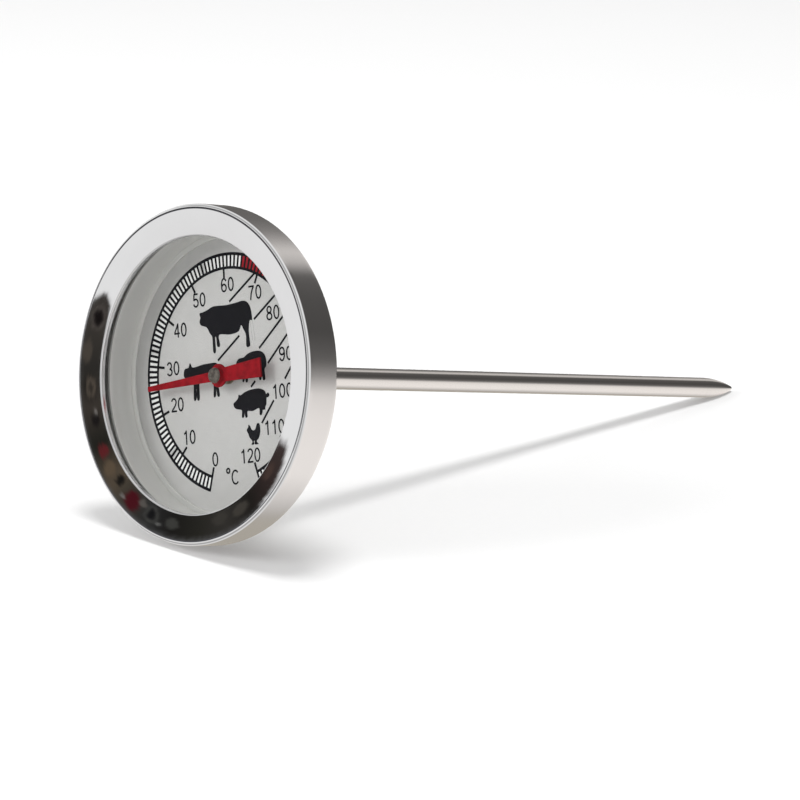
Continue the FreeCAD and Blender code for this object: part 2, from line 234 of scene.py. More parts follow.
def turned(
    name: str, axis: Axis, outline: np.ndarray, seam: Seam = Seam.LOOP, steps: int = 256
) -> bpy.types.Object:
    """Carry an outline of (radius, depth) round the axis.

    Point (i, j) is outline point j turned by i / steps of a full turn.

    Args:
        name: The piece's name.
        axis: The instrument axis.
        outline: A closed loop, or an open line from pole to pole.
        seam: Which of the two the outline is.
        steps: Divisions of the turn.

    Returns:
        The piece.
    """
    angle = np.arange(steps) * (2 * math.pi / steps)
    places = axis.round(outline[None, :, 0], angle[:, None], outline[None, :, 1])
    quads = grid_faces(steps, len(outline), True, seam is Seam.LOOP)
    return finished(name, mesh_of(name, places, quads))


def slabs(
    name: str, axis: Axis, quads: np.ndarray, front: float, thickness: float
) -> bpy.types.Object:
    """Make one closed slab from each flat four-sided patch of the dial.

    Args:
        name: The piece's name.
        axis: The instrument axis.
        quads: Corners as an array of (patch, corner, across/up).
        front: Depth of the slabs' front faces, in mm.
        thickness: How far they reach behind it, in mm.

    Returns:
        The piece.
    """
    both = np.concatenate([quads, quads], axis=1)
    depth = np.repeat([front, front + thickness], 4)[None, :] + np.zeros((len(quads), 1))
    places = axis.face(both[..., 0], both[..., 1], depth)
    sides = [[0, 1, 2, 3], [7, 6, 5, 4], [0, 4, 5, 1], [1, 5, 6, 2], [2, 6, 7, 3], [3, 7, 4, 0]]
    faces = np.array(sides)[None] + (np.arange(len(quads)) * 8)[:, None, None]
    return finished(name, mesh_of(name, places, faces), sharp=20.0)


def arc_patches(inner: float, outer: float, start: float, end: float, step: float) -> np.ndarray:
    """Split part of a flat ring, from start to end degrees, into patches of about step degrees."""
    edges = np.radians(np.linspace(start, end, max(2, round(abs(end - start) / step) + 1)))
    rays = np.stack([np.cos(edges), np.sin(edges)], -1)
    return np.stack([rays[:-1] * inner, rays[:-1] * outer, rays[1:] * outer, rays[1:] * inner], 1)


def bars(starts: np.ndarray, ends: np.ndarray, width: np.ndarray) -> np.ndarray:
    """Straight bars from starts to ends: each end moved half a width to either side."""
    run = ends - starts
    side = np.stack([-run[:, 1], run[:, 0]], -1) / np.linalg.norm(run, axis=1, keepdims=True)
    side = side * np.broadcast_to(np.asarray(width, float) / 2, len(run))[:, None]
    return np.stack([starts - side, starts + side, ends + side, ends - side], 1)


def from_curve(curve: bpy.types.Curve) -> tuple[np.ndarray, Faces]:
    """The vertices and faces that a flat curve gives, in its own plane."""
    holder = bpy.data.objects.new("holder", curve)
    mesh = bpy.data.meshes.new_from_object(holder)
    places = np.empty(len(mesh.vertices) * 3, np.float32)
    mesh.vertices.foreach_get("co", places)
    faces = [tuple(face.vertices) for face in mesh.polygons]
    bpy.data.objects.remove(holder)
    bpy.data.meshes.remove(mesh)
    return places.reshape(-1, 3).astype(float), faces


def grown(outline: np.ndarray, by: float) -> np.ndarray:
    """Move a closed outline outwards by a distance."""
    ahead, behind = np.roll(outline, -1, axis=0), np.roll(outline, 1, axis=0)
    run = ahead - behind
    run /= np.linalg.norm(run, axis=1, keepdims=True)
    area = np.sum(outline[:, 0] * ahead[:, 1] - outline[:, 1] * ahead[:, 0])
    return outline + np.stack([run[:, 1], -run[:, 0]], -1) * by * np.sign(area)


def filled(outline: np.ndarray) -> tuple[np.ndarray, Faces]:
    """A closed outline as a slab one unit either side of its plane."""
    curve = bpy.data.curves.new("outline", "CURVE")
    curve.dimensions = "2D"
    curve.fill_mode = "BOTH"
    curve.extrude = 1.0
    spline = curve.splines.new("POLY")
    spline.points.add(len(outline) - 1)
    flat = np.column_stack([outline, np.zeros(len(outline)), np.ones(len(outline))])
    spline.points.foreach_set("co", flat.astype(np.float32).ravel())
    spline.use_cyclic_u = True
    return from_curve(curve)


def bow(x: float, y: float, wide: float, tall: float, start: float, end: float) -> np.ndarray:
    """Points on part of an ellipse about (x, y), from start to end degrees."""
    angle = np.radians(np.linspace(start, end, max(8, round(abs(end - start) / 12))))
    return np.stack([x + wide * np.cos(angle), y + tall * np.sin(angle)], -1)


def stroke(points: np.ndarray, width: float) -> np.ndarray:
    """Four-sided patches along a line of even width with mitred corners.

    The side step at a point is square to the mean of the two directions that meet there, longer by
    the mitre. A line that ends where it starts is closed.

    Args:
        points: The line as an array of (x, y).
        width: Its width.

    Returns:
        Patches as an array of (patch, corner, x/y).
    """
    hops = np.diff(points, axis=0)
    hops /= np.linalg.norm(hops, axis=1, keepdims=True)
    closed = np.allclose(points[0], points[-1], atol=1e-6)
    before = np.vstack([hops[-1:] if closed else hops[:1], hops])
    after = np.vstack([hops, hops[:1] if closed else hops[-1:]])
    middle = before + after
    middle /= np.linalg.norm(middle, axis=1, keepdims=True)
    mitre = 1.0 / np.clip(np.sum(middle * before, axis=1, keepdims=True), 0.6, None)
    side = np.stack([-middle[:, 1], middle[:, 0]], -1) * mitre * (width / 2)
    left, right = points + side, points - side
    return np.stack([left[:-1], right[:-1], right[1:], left[1:]], 1)


def glyph(mark: str) -> list[np.ndarray]:
    """The lines of a figure, in a box one unit tall whose middle is at x = 0."""
    line = np.array
    shapes = {
        "0": [bow(0, 0.5, 0.235, 0.44, 0, 360)],
        "1": [line([(0.07, 0.0), (0.07, 1.0)]), line([(0.09, 0.96), (0.0, 0.84), (-0.16, 0.75)])],
        "2": [
            np.vstack(
                [bow(0, 0.70, 0.225, 0.24, 165, -30), [(0.1, 0.42), (-0.13, 0.2), (-0.22, 0.08)]]
            ),
            line([(-0.28, 0.06), (0.28, 0.06)]),
        ],
        "3": [
            bow(-0.01, 0.715, 0.205, 0.225, 165, -90),
            bow(-0.01, 0.275, 0.235, 0.215, 90, -165),
        ],
        "4": [
            line([(0.11, 0.0), (0.11, 1.0)]),
            line([(0.13, 0.97), (-0.25, 0.32)]),
            line([(-0.29, 0.29), (0.29, 0.29)]),
        ],
        "5": [
            line([(-0.17, 0.94), (0.23, 0.94)]),
            line([(-0.14, 0.96), (-0.20, 0.50)]),
            bow(0, 0.325, 0.23, 0.265, 140, -165),
        ],
        "6": [
            bow(0, 0.30, 0.225, 0.24, 0, 360),
            np.vstack([bow(0.02, 0.5, 0.25, 0.44, 200, 180), bow(0.02, 0.5, 0.25, 0.44, 170, 35)]),
        ],
        "7": [
            line([(-0.27, 0.94), (0.27, 0.94)]),
            line([(0.24, 0.93), (0.1, 0.72), (-0.02, 0.45), (-0.1, 0.0)]),
        ],
        "8": [bow(0, 0.73, 0.195, 0.21, 0, 360), bow(0, 0.275, 0.235, 0.22, 0, 360)],
        "9": [
            bow(0, 0.70, 0.225, 0.24, 0, 360),
            np.vstack([bow(-0.02, 0.5, 0.25, 0.44, 20, 0), bow(-0.02, 0.5, 0.25, 0.44, -10, -145)]),
        ],
        "C": [bow(0.04, 0.5, 0.32, 0.44, 42, 318)],
        "o": [bow(0, 0.5, 0.40, 0.40, 0, 360)],
    }
    return shapes[mark]


def printed(
    name: str, axis: Axis, places: np.ndarray, faces: Faces, front: float, thickness: float
) -> bpy.types.Object:
    """Lay a flat slab on the dial as one piece of print.

    Args:
        name: The piece's name.
        axis: The instrument axis.
        places: Its vertices as (across, up, side), where side is -1 behind and 1 in front.
        faces: Its faces.
        front: Depth of the print's front, in mm.
        thickness: How far it reaches behind it, in mm.

    Returns:
        The piece.
    """
    depth = front + thickness * (1.0 - places[:, 2]) / 2
    mesh = mesh_of(name, axis.face(places[:, 0], places[:, 1], depth), faces)
    return finished(name, mesh, sharp=20.0)


# ---------------------------------------------------------------- shader workshop


def arithmetic(operation: str, reflected: bool = False) -> Callable[["Value", Number], "Value"]:
    """The method behind an operator.

    Args:
        operation: The Math node's operation.
        reflected: Whether the value stands on the operator's right.

    Returns:
        A method that puts both terms through one Math node.
    """

    def method(self: "Value", other: Number) -> "Value":
        """Join the two terms in their written order."""
        terms = (other, self) if reflected else (self, other)
        return self.graph.node("Math", {"operation": operation}, dict(enumerate(terms)))[0]

    return method


class Value:
    """A shader socket that takes part in ordinary arithmetic."""

    __add__, __radd__ = arithmetic("ADD"), arithmetic("ADD", True)
    __sub__, __rsub__ = arithmetic("SUBTRACT"), arithmetic("SUBTRACT", True)
    __mul__, __rmul__ = arithmetic("MULTIPLY"), arithmetic("MULTIPLY", True)
    __truediv__, __rtruediv__ = arithmetic("DIVIDE"), arithmetic("DIVIDE", True)
    __pow__, __rpow__ = arithmetic("POWER"), arithmetic("POWER", True)

    def __init__(self, graph: "Graph", socket: bpy.types.NodeSocket) -> None:
        """Wrap an output socket of the graph."""
        self.graph = graph
        self.socket = socket

    def between(self, low: float, high: float) -> "Value":
        """Rise smoothly from 0 at low to 1 at high."""
        settings = {"interpolation_type": "SMOOTHSTEP"}
        return self.graph.node("MapRange", settings, {0: self, 1: low, 2: high})[0]


class Made:
    """The outputs of a node that has just been made."""

    def __init__(self, graph: "Graph", node: bpy.types.Node) -> None:
        """Remember the node."""
        self.graph = graph
        self.node = node

    def __getitem__(self, name: Union[int, str]) -> Value:
        """One output, by place or name."""
        return Value(self.graph, self.node.outputs[name])


class Graph:
    """A material under construction."""

    def __init__(self, name: str, axis: Axis) -> None:
        """Start an empty material.

        Args:
            name: The material's name.
            axis: The instrument axis, which patterns are measured from.
        """
        self.material = bpy.data.materials.new(name)
        self.material.use_nodes = True
        self.tree = self.material.node_tree
        self.tree.nodes.clear()
        self.axis = axis

    def node(
        self,
        kind: str,
        settings: Mapping[str, Any] = {},
        inputs: Mapping[Union[int, str], Any] = {},
    ) -> Made:
        """Add any node.

        Args:
            kind: The node's type, without its ShaderNode prefix.
            settings: Properties that are set first; "stops" lists a ramp's (place, colour) pairs.
            inputs: Constants or Values, by socket place or name.

        Returns:
            The node's outputs.
        """
        made = self.tree.nodes.new("ShaderNode" + kind)
        for key, value in settings.items():
            if key == "stops":
                for index, (place, colour) in enumerate(value):
                    ramp = made.color_ramp.elements
                    stop = ramp[index] if index < len(ramp) else ramp.new(place)
                    stop.position, stop.color = place, (*colour, 1.0)
            else:
                setattr(made, key, value)
        for key, value in inputs.items():
            if isinstance(value, Value):
                self.tree.links.new(value.socket, made.inputs[key])
            else:
                made.inputs[key].default_value = value
        return Made(self, made)

    def place(self) -> Value:
        """The point being shaded, in metres in the frame."""
        return self.node("TexCoord")["Object"]

    def along(self, direction: Sequence[float], place: Value) -> Value:
        """How far the point lies from the centre of the front plane in a direction, in mm."""
        shift = float(np.dot(self.axis.centre, direction)) / MM
        scaled = tuple(float(part) / MM for part in direction)
        dot = self.node("VectorMath", {"operation": "DOT_PRODUCT"}, {0: place, 1: scaled})["Value"]
        return dot - shift

    def triple(self, across: Number, up: Number, depth: Number) -> Value:
        """A vector from three numbers."""
        return self.node("CombineXYZ", {}, {0: across, 1: up, 2: depth})[0]

    def local(self) -> tuple[Value, Value, Value]:
        """The point as (across, up, depth) in mm."""
        place = self.place()
        sides = (self.axis.across, self.axis.up, self.axis.along)
        across, up, depth = (self.along(side, place) for side in sides)
        return across, up, depth

    def polar(self) -> tuple[Value, Value, Value, Value]:
        """The point as (radius in mm, cosine and sine of its angle from across, depth in mm)."""
        across, up, depth = self.local()
        radius = (across * across + up * up) ** 0.5
        return radius, across / radius, up / radius, depth

    def swirl(
        self,
        polar: Sequence[Value],
        turn: float,
        fine: float,
        detail: float = 4.0,
        rough: float = 0.6,
    ) -> Value:
        """Noise from 0 to 1 that is drawn out round the axis and has no seam.

        Args:
            polar: The point as polar gives it.
            turn: Cells in a radian round the axis.
            fine: Cells in a mm across that direction.
            detail: Octaves.
            rough: Share of the finer octaves.

        Returns:
            The noise.
        """
        radius, cosine, sine, depth = polar
        where = self.triple(cosine * turn, sine * turn, radius * fine)
        inputs = {"Vector": where, "W": depth * fine, "Scale": 1.0, "Detail": detail}
        inputs["Roughness"] = rough
        return self.node("TexNoise", {"noise_dimensions": "4D"}, inputs)["Fac"]

    def noise(self, vector: Value, scale: float, detail: float = 3.0, rough: float = 0.5) -> Value:
        """Smooth noise from 0 to 1 over a vector."""
        inputs = {"Vector": vector, "Scale": scale, "Detail": detail, "Roughness": rough}
        return self.node("TexNoise", {}, inputs)["Fac"]

    def mixed(self, share: Number, first: Any, second: Any) -> Value:
        """Mix two colours."""
        ends = [c if isinstance(c, Value) else (*c, 1.0) for c in (first, second)]
        return self.node("Mix", {"data_type": "RGBA"}, {0: share, 6: ends[0], 7: ends[1]})[2]

    def bump(self, height: Value, distance: float, strength: float = 1.0) -> Value:
        """A normal from a height of 0 to 1 that stands for a distance in mm."""
        inputs = {"Height": height, "Distance": distance * MM, "Strength": strength}
        return self.node("Bump", {}, inputs)["Normal"]

    def surface(self, **inputs: Any) -> bpy.types.Material:
        """Finish the material with one Principled shader.

        Args:
            **inputs: Socket names with underscores for spaces; plain colours are given as triples.

        Returns:
            The material.
        """
        ready = {}
        for key, value in inputs.items():
            triple = isinstance(value, tuple) and len(value) == 3
            ready[key.replace("_", " ")] = (*value, 1.0) if triple else value
        return self.output(self.node("BsdfPrincipled", {}, ready)[0])

    def output(self, shader: Value) -> bpy.types.Material:
        """Join a shader to the material's output."""
        self.node("OutputMaterial", {}, {"Surface": shader})
        return self.material


# ---------------------------------------------------------------- finishes


@dataclass(frozen=True)
class MirrorSteel:
    """Polished stainless sheet: mirror on the dished face, finely buffed round the side."""

    name: str = "polished_steel"
    tint: Colour = (0.80, 0.80, 0.81)
    mirror: float = 0.02
    buffed: float = 0.13
    side_from: float = 0.5

    def material(self, axis: Axis) -> bpy.types.Material:
        """Mirror in front, and buffing lines that run round the side."""
        g = Graph(self.name, axis)
        polar = g.polar()
        side = polar[3].between(self.side_from, self.side_from + 0.5)
        lines = g.swirl(polar, 2.0, 14.0)
        smudge = g.swirl(polar, 3.0, 0.25, 3.0)
        ripple = g.swirl(polar, 4.0, 0.4, 2.0, 0.4)
        rough = self.mirror + side * (self.buffed - self.mirror)
        rough = rough + smudge * 0.02 + side * lines * 0.05
        fine = g.bump(lines, 0.0012, 0.5)
        wave = g.node(
            "Bump", {}, {"Height": ripple, "Distance": 0.012 * MM, "Strength": 0.5, "Normal": fine}
        )["Normal"]
        colour = g.mixed(smudge, self.tint, dimmed(self.tint, 0.94))
        return g.surface(Base_Color=colour, Metallic=1.0, Roughness=rough, Normal=wave)


@dataclass(frozen=True)
class SatinSteel:
    """Drawn sheet with a satin finish whose fine lines run round the axis."""

    name: str = "satin_steel"
    tint: Colour = (0.93, 0.93, 0.91)
    rough: float = 0.36
    line: float = 9.0

    def material(self, axis: Axis) -> bpy.types.Material:
        """Round lines, a cloudier tone over them and a few faint rubs."""
        g = Graph(self.name, axis)
        polar = g.polar()
        lines = g.swirl(polar, 3.0, self.line, 5.0, 0.65)
        cloud = g.swirl(polar, 2.5, 0.3, 3.0)
        colour = g.mixed(lines * 0.5 + cloud * 0.5, self.tint, dimmed(self.tint, 0.88))
        rough = self.rough + lines * 0.12 + cloud * 0.05
        normal = g.bump(lines, 0.004, 0.6)
        return g.surface(Base_Color=colour, Metallic=0.7, Roughness=rough, Normal=normal)


@dataclass(frozen=True)
class StemSteel:
    """Bright drawn tube, polished along its length, with faint marks from use."""

    name: str = "stem_steel"
    tint: Colour = (0.80, 0.79, 0.785)
    rough: float = 0.11

    def material(self, axis: Axis) -> bpy.types.Material:
        """Lengthwise polish with short cross scuffs."""
        g = Graph(self.name, axis)
        _, cosine, sine, depth = g.polar()
        drawn = g.noise(g.triple(cosine * 9.0, sine * 9.0, depth * 0.12), 1.0, 4.0, 0.6)
        scuff = g.noise(g.triple(cosine * 1.2, sine * 1.2, depth * 7.0), 1.0, 4.0, 0.7)
        marks = scuff.between(0.58, 0.8)
        rough = self.rough + drawn * 0.07 + marks * 0.08
        normal = g.bump(drawn * 0.6 + scuff * 0.4, 0.0035, 0.6)
        colour = g.mixed(marks, self.tint, dimmed(self.tint, 0.93))
        return g.surface(Base_Color=colour, Metallic=1.0, Roughness=rough, Normal=normal)


@dataclass(frozen=True)
class TurnedMetal:
    """Metal straight from the lathe: fine tool lines across the axis."""

    name: str = "turned_steel"
    tint: Colour = (0.62, 0.61, 0.60)
    rough: float = 0.24
    pitch: float = 0.11

    def material(self, axis: Axis) -> bpy.types.Material:
        """Tool lines at the feed's pitch, uneven in depth."""
        g = Graph(self.name, axis)
        polar = g.polar()
        phase = (polar[0] + polar[3]) * (2 * math.pi / self.pitch)
        wave = g.node("Math", {"operation": "SINE"}, {0: phase})
        uneven = g.swirl(polar, 2.0, 6.0)
        height = wave[0] * 0.25 + uneven
        colour = g.mixed(uneven, self.tint, dimmed(self.tint, 0.8))
        rough = self.rough + uneven * 0.14
        normal = g.bump(height, 0.006, 0.6)
        return g.surface(Base_Color=colour, Metallic=1.0, Roughness=rough, Normal=normal)


@dataclass(frozen=True)
class BimetalStrip:
    """Rolled strip, straw coloured, with rolling lines."""

    name: str = "bimetal_strip"
    tint: Colour = (0.60, 0.53, 0.40)
    edge: Colour = (0.42, 0.41, 0.40)

    def material(self, axis: Axis) -> bpy.types.Material:
        """Straw tone broken by greyer rolling lines."""
        g = Graph(self.name, axis)
        roll = g.swirl(g.polar(), 0.6, 12.0)
        colour = g.mixed(roll.between(0.35, 0.7), self.tint, self.edge)
        rough, normal = 0.26 + roll * 0.2, g.bump(roll, 0.004, 0.6)
        return g.surface(Base_Color=colour, Metallic=1.0, Roughness=rough, Normal=normal)


@dataclass(frozen=True)
class BlackSeal:
    """Moulded black rubber with a dull, greyed skin."""

    name: str = "black_seal"
    tint: Colour = (0.30, 0.30, 0.29)

    def material(self, axis: Axis) -> bpy.types.Material:
        """Fine skin grain and a slightly dusty tone."""
        g = Graph(self.name, axis)
        where = g.triple(*g.local())
        grain = g.noise(where, 16.0, 3.0)
        dust = g.noise(where, 1.2, 4.0).between(0.5, 0.8)
        colour = g.mixed(dust, self.tint, dimmed(self.tint, 1.5))
        normal = g.bump(grain, 0.012, 0.6)
        return g.surface(Base_Color=colour, Roughness=0.42 + grain * 0.2, Normal=normal)


@dataclass(frozen=True)
class WindowGlass:
    """Flat clear glass: what is behind it shows unbent, with a weak reflection over it."""

    name: str = "window_glass"
    tint: Colour = (0.985, 0.987, 0.985)

    def material(self, axis: Axis) -> bpy.types.Material:
        """Clear sight mixed with gloss by how steeply the surface is seen."""
        g = Graph(self.name, axis)
        haze = g.noise(g.triple(*g.local()), 0.5, 4.0)
        gloss = g.node("BsdfAnisotropic", {}, {"Color": (1.0, 1.0, 1.0, 1.0), "Roughness": 0.03})[0]
        clear = g.node("BsdfTransparent", {}, {"Color": (*self.tint, 1.0)})[0]
        facing = g.node("LayerWeight", {}, {"Blend": 0.5})["Facing"]
        share = (0.035 + 0.965 * facing**5) * (0.75 + haze * 0.3)
        return g.output(g.node("MixShader", {}, {0: share, 1: clear, 2: gloss})[0])


@dataclass(frozen=True)
class DialCoat:
    """Silver lacquer on a brushed plate: level grain, dull sheen, fine specks."""

    name: str = "dial_face"
    tint: Colour = (0.665, 0.66, 0.65)
    dark: Colour = (0.565, 0.56, 0.55)

    def material(self, axis: Axis) -> bpy.types.Material:
        """Grain drawn out along the plate, over a slow cloud and sparse specks."""
        g = Graph(self.name, axis)
        across, up, depth = g.local()
        grain = g.noise(g.triple(across * 0.9, up * 9.0, depth), 1.0, 5.0, 0.65)
        speck = g.noise(g.triple(across * 6.0, up * 6.0, depth), 1.0, 2.0)
        cloud = g.noise(g.triple(across * 0.12, up * 0.12, depth), 1.0, 3.0)
        tone = grain * 0.45 + speck * 0.35 + cloud * 0.2
        colour = g.mixed(tone.between(0.36, 0.68), self.tint, self.dark)
        rough = 0.46 + speck * 0.14
        normal = g.bump(grain * 0.7 + speck * 0.3, 0.008, 0.5)
        return g.surface(Base_Color=colour, Metallic=0.2, Roughness=rough, Normal=normal)


@dataclass(frozen=True)
class PrintInk:
    """Screen-printed ink, a little uneven in cover."""

    name: str
    tint: Colour
    thin: Colour

    def material(self, axis: Axis) -> bpy.types.Material:
        """Cover that thins in small patches, with a low gloss."""
        g = Graph(self.name, axis)
        where = g.triple(*g.local())
        cover = g.noise(where, 3.5, 5.0, 0.6)
        mesh = g.noise(where, 14.0, 2.0)
        colour = g.mixed(cover.between(0.45, 0.85), self.tint, self.thin)
        normal = g.bump(mesh, 0.003, 0.5)
        gloss = {"Roughness": 0.42 + mesh * 0.2, "Specular_IOR_Level": 0.15}
        return g.surface(Base_Color=colour, Normal=normal, **gloss)


@dataclass(frozen=True)
class PointerPaint:
    """Red enamel on thin plate, deeper in tone towards the edges of its flow."""

    name: str = "red_paint"
    tint: Colour = (0.31, 0.006, 0.012)
    deep: Colour = (0.21, 0.004, 0.008)

    def material(self, axis: Axis) -> bpy.types.Material:
        """Slow flow marks, fine orange peel and a clear gloss."""
        g = Graph(self.name, axis)
        where = g.triple(*g.local())
        flow = g.noise(where, 0.8, 4.0)
        peel = g.noise(where, 5.0, 3.0)
        colour = g.mixed(flow.between(0.35, 0.7), self.tint, self.deep)
        normal = g.bump(peel, 0.01, 0.5)
        gloss = {"Roughness": 0.36 + peel * 0.12, "Specular_IOR_Level": 0.06}
        return g.surface(Base_Color=colour, Normal=normal, **gloss)


@dataclass(frozen=True)
class HubMetal:
    """Grey rivet head, hammered and a little oxidised."""

    name: str = "hub_metal"
    tint: Colour = (0.30, 0.278, 0.242)
    dark: Colour = (0.11, 0.10, 0.09)

    def material(self, axis: Axis) -> bpy.types.Material:
        """Hammer marks round the head with darker hollows."""
        g = Graph(self.name, axis)
        where = g.triple(*g.local())
        hammer = g.noise(where, 1.9, 3.0)
        pit = g.noise(where, 6.0, 3.0, 0.6)
        colour = g.mixed((hammer * 0.6 + pit * 0.4).between(0.35, 0.68), self.tint, self.dark)
        normal = g.bump(hammer * 0.7 + pit * 0.3, 0.14, 0.7)
        return g.surface(Base_Color=colour, Metallic=1.0, Roughness=0.3 + pit * 0.2, Normal=normal)


@dataclass(frozen=True)
class TableTop:
    """Seamless white table."""

    name: str = "table_top"

    def material(self, axis: Axis) -> bpy.types.Material:
        """Matt white with a hardly visible unevenness."""
        g = Graph(self.name, axis)
        grain = g.noise(g.place(), 900.0, 3.0)
        colour = g.mixed(grain, (0.86, 0.86, 0.86), (0.84, 0.84, 0.84))
        return g.surface(Base_Color=colour, Roughness=0.9)


# ---------------------------------------------------------------- dressing


@dataclass
class Workshop:
    """What every sub-assembly needs: the axis and one material per slot."""

    axis: Axis
    finishes: dict[str, bpy.types.Material] = field(default_factory=dict)

    def stock(self, *finishes: Any) -> None:
        """Make the material of each finish and keep it under the finish's name."""
        for finish in finishes:
            self.finishes[finish.name] = finish.material(self.axis)

    def dress(
        self, piece: bpy.types.Object, slot: str, body: Body, *nodes: str
    ) -> bpy.types.Object:
        """Give a new piece its finish, its body and the CAD nodes that it stands for.

        Args:
            piece: The piece.
            slot: The record's material slot.
            body: The body that it rides on.
            *nodes: CAD nodes that it replaces.

        Returns:
            The piece.
        """
        piece.data.materials.clear()
        piece.data.materials.append(self.finishes[slot])
        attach(piece, body.value)
        if nodes:
            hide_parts(*nodes)
        LOG.info("%s: %d faces on %s", piece.name, len(piece.data.polygons), body.value)
        return piece

    def turn(
        self,
        name: str,
        corners: Sequence[Corner],
        slot: str,
        node: str,
        steps: int = 384,
        arc: int = 9,
    ) -> None:
        """Make a turned piece of the case.

        Args:
            name: The piece's name.
            corners: Its closed outline as (radius, depth, cut), as rounded takes it.
            slot: The record's material slot.
            node: The CAD node that it replaces.
            steps: Divisions of the turn.
            arc: Points on each rounded corner.
        """
        piece = turned(name, self.axis, rounded(corners, arc), steps=steps)
        self.dress(piece, slot, Body.CASE, node)

    def coat(self, slot: str, *nodes: str) -> None:
        """Give CAD nodes that keep their own mesh a better material."""
        for node in nodes:
            for holder in frame["nodes"][node].material_slots:
                holder.material = self.finishes[slot]
            LOG.info("%s keeps its CAD mesh, finished as %s", node, slot)


# ---------------------------------------------------------------- case


@dataclass
class BezelRing:
    """Front ring: mirror flange dished towards the window, round edge, side and rear roll."""

    shop: Workshop
    sheet: float = 0.5
    dish: float = 0.75
    edge: float = 0.62
    lip: float = 0.22
    roll: float = 3.1
    crown: float = 0.07
    crown_cut: float = 1.55
    lip_tail: float = 0.3
    shoulder: float = 0.12

    def build(self) -> None:
        """Turn the sheet's outline, outside first and then back along the inside."""
        span = self.shop.axis.span("bezel_ring")
        outer, bore, back = span.outer, span.inner, span.back
        lip_end = self.dish + self.sheet + self.lip_tail
        flat = outer - self.edge - self.shoulder
        self.shop.turn(
            "bezel",
            [
                (bore, lip_end, 0.1),
                (bore, self.dish, self.lip),
                (0.5 * (bore + flat), 0.5 * self.dish - self.crown, self.crown_cut),
                (flat, 0.0, 0.1),
                (outer, 0.0, self.edge),
                (outer, back, self.roll),
                (outer - self.roll, back, 0.1),
                (outer - self.roll, back - self.sheet, 0.1),
                (outer - self.sheet, back - self.sheet, self.roll - self.sheet),
                (outer - self.sheet, self.sheet, 0.3),
                (bore + self.sheet, self.dish + self.sheet, 0.15),
                (bore + self.sheet, lip_end, 0.1),
            ],
            "polished_steel",
            "bezel_ring",
            arc=13,
        )


@dataclass
class InnerWall:
    """Satin sleeve between window and dial, with the rolled ring that holds the dial down."""

    shop: Workshop
    sheet: float = 0.35

    def build(self) -> None:
        """Turn the flanged sleeve and the retaining ring."""
        axis = self.shop.axis
        span = axis.span("spacer_ring")
        self.shop.turn(
            "inner_wall",
            [
                (span.inner, span.front, 0.12),
                (span.outer, span.front, 0.05),
                (span.outer, span.front + self.sheet, 0.05),
                (span.inner + self.sheet, span.front + self.sheet, 0.08),
                (span.inner + self.sheet, span.back, 0.05),
                (span.inner, span.back, 0.1),
            ],
            "satin_steel",
            "spacer_ring",
        )
        ring = axis.span("dial_retainer")
        self.shop.turn(
            "dial_ring",
            [
                (ring.inner, ring.front, 0.13),
                (ring.outer, ring.front, 0.1),
                (ring.outer, ring.back, 0.05),
                (ring.inner, ring.back, 0.05),
            ],
            "satin_steel",
            "dial_retainer",
        )


@dataclass
class Window:
    """Glass with ground edges in a black channel seal."""

    shop: Workshop
    ground: float = 0.12

    def build(self) -> None:
        """Turn the glass disc from pole to pole and coat the seal."""
        span = self.shop.axis.span("glass_lens")
        rim = rounded(
            [
                (0.0, span.front, 0.0),
                (span.outer, span.front, self.ground),
                (span.outer, span.back, self.ground),
                (0.0, span.back, 0.0),
            ]
        )
        order = np.argmin(np.hypot(rim[:, 0], rim[:, 1] - span.front))
        piece = turned("window", self.shop.axis, np.roll(rim, -order, axis=0), Seam.POLES, 256)
        self.shop.dress(piece, "window_glass", Body.CASE, "glass_lens")
        self.shop.coat("black_seal", "lens_gasket")


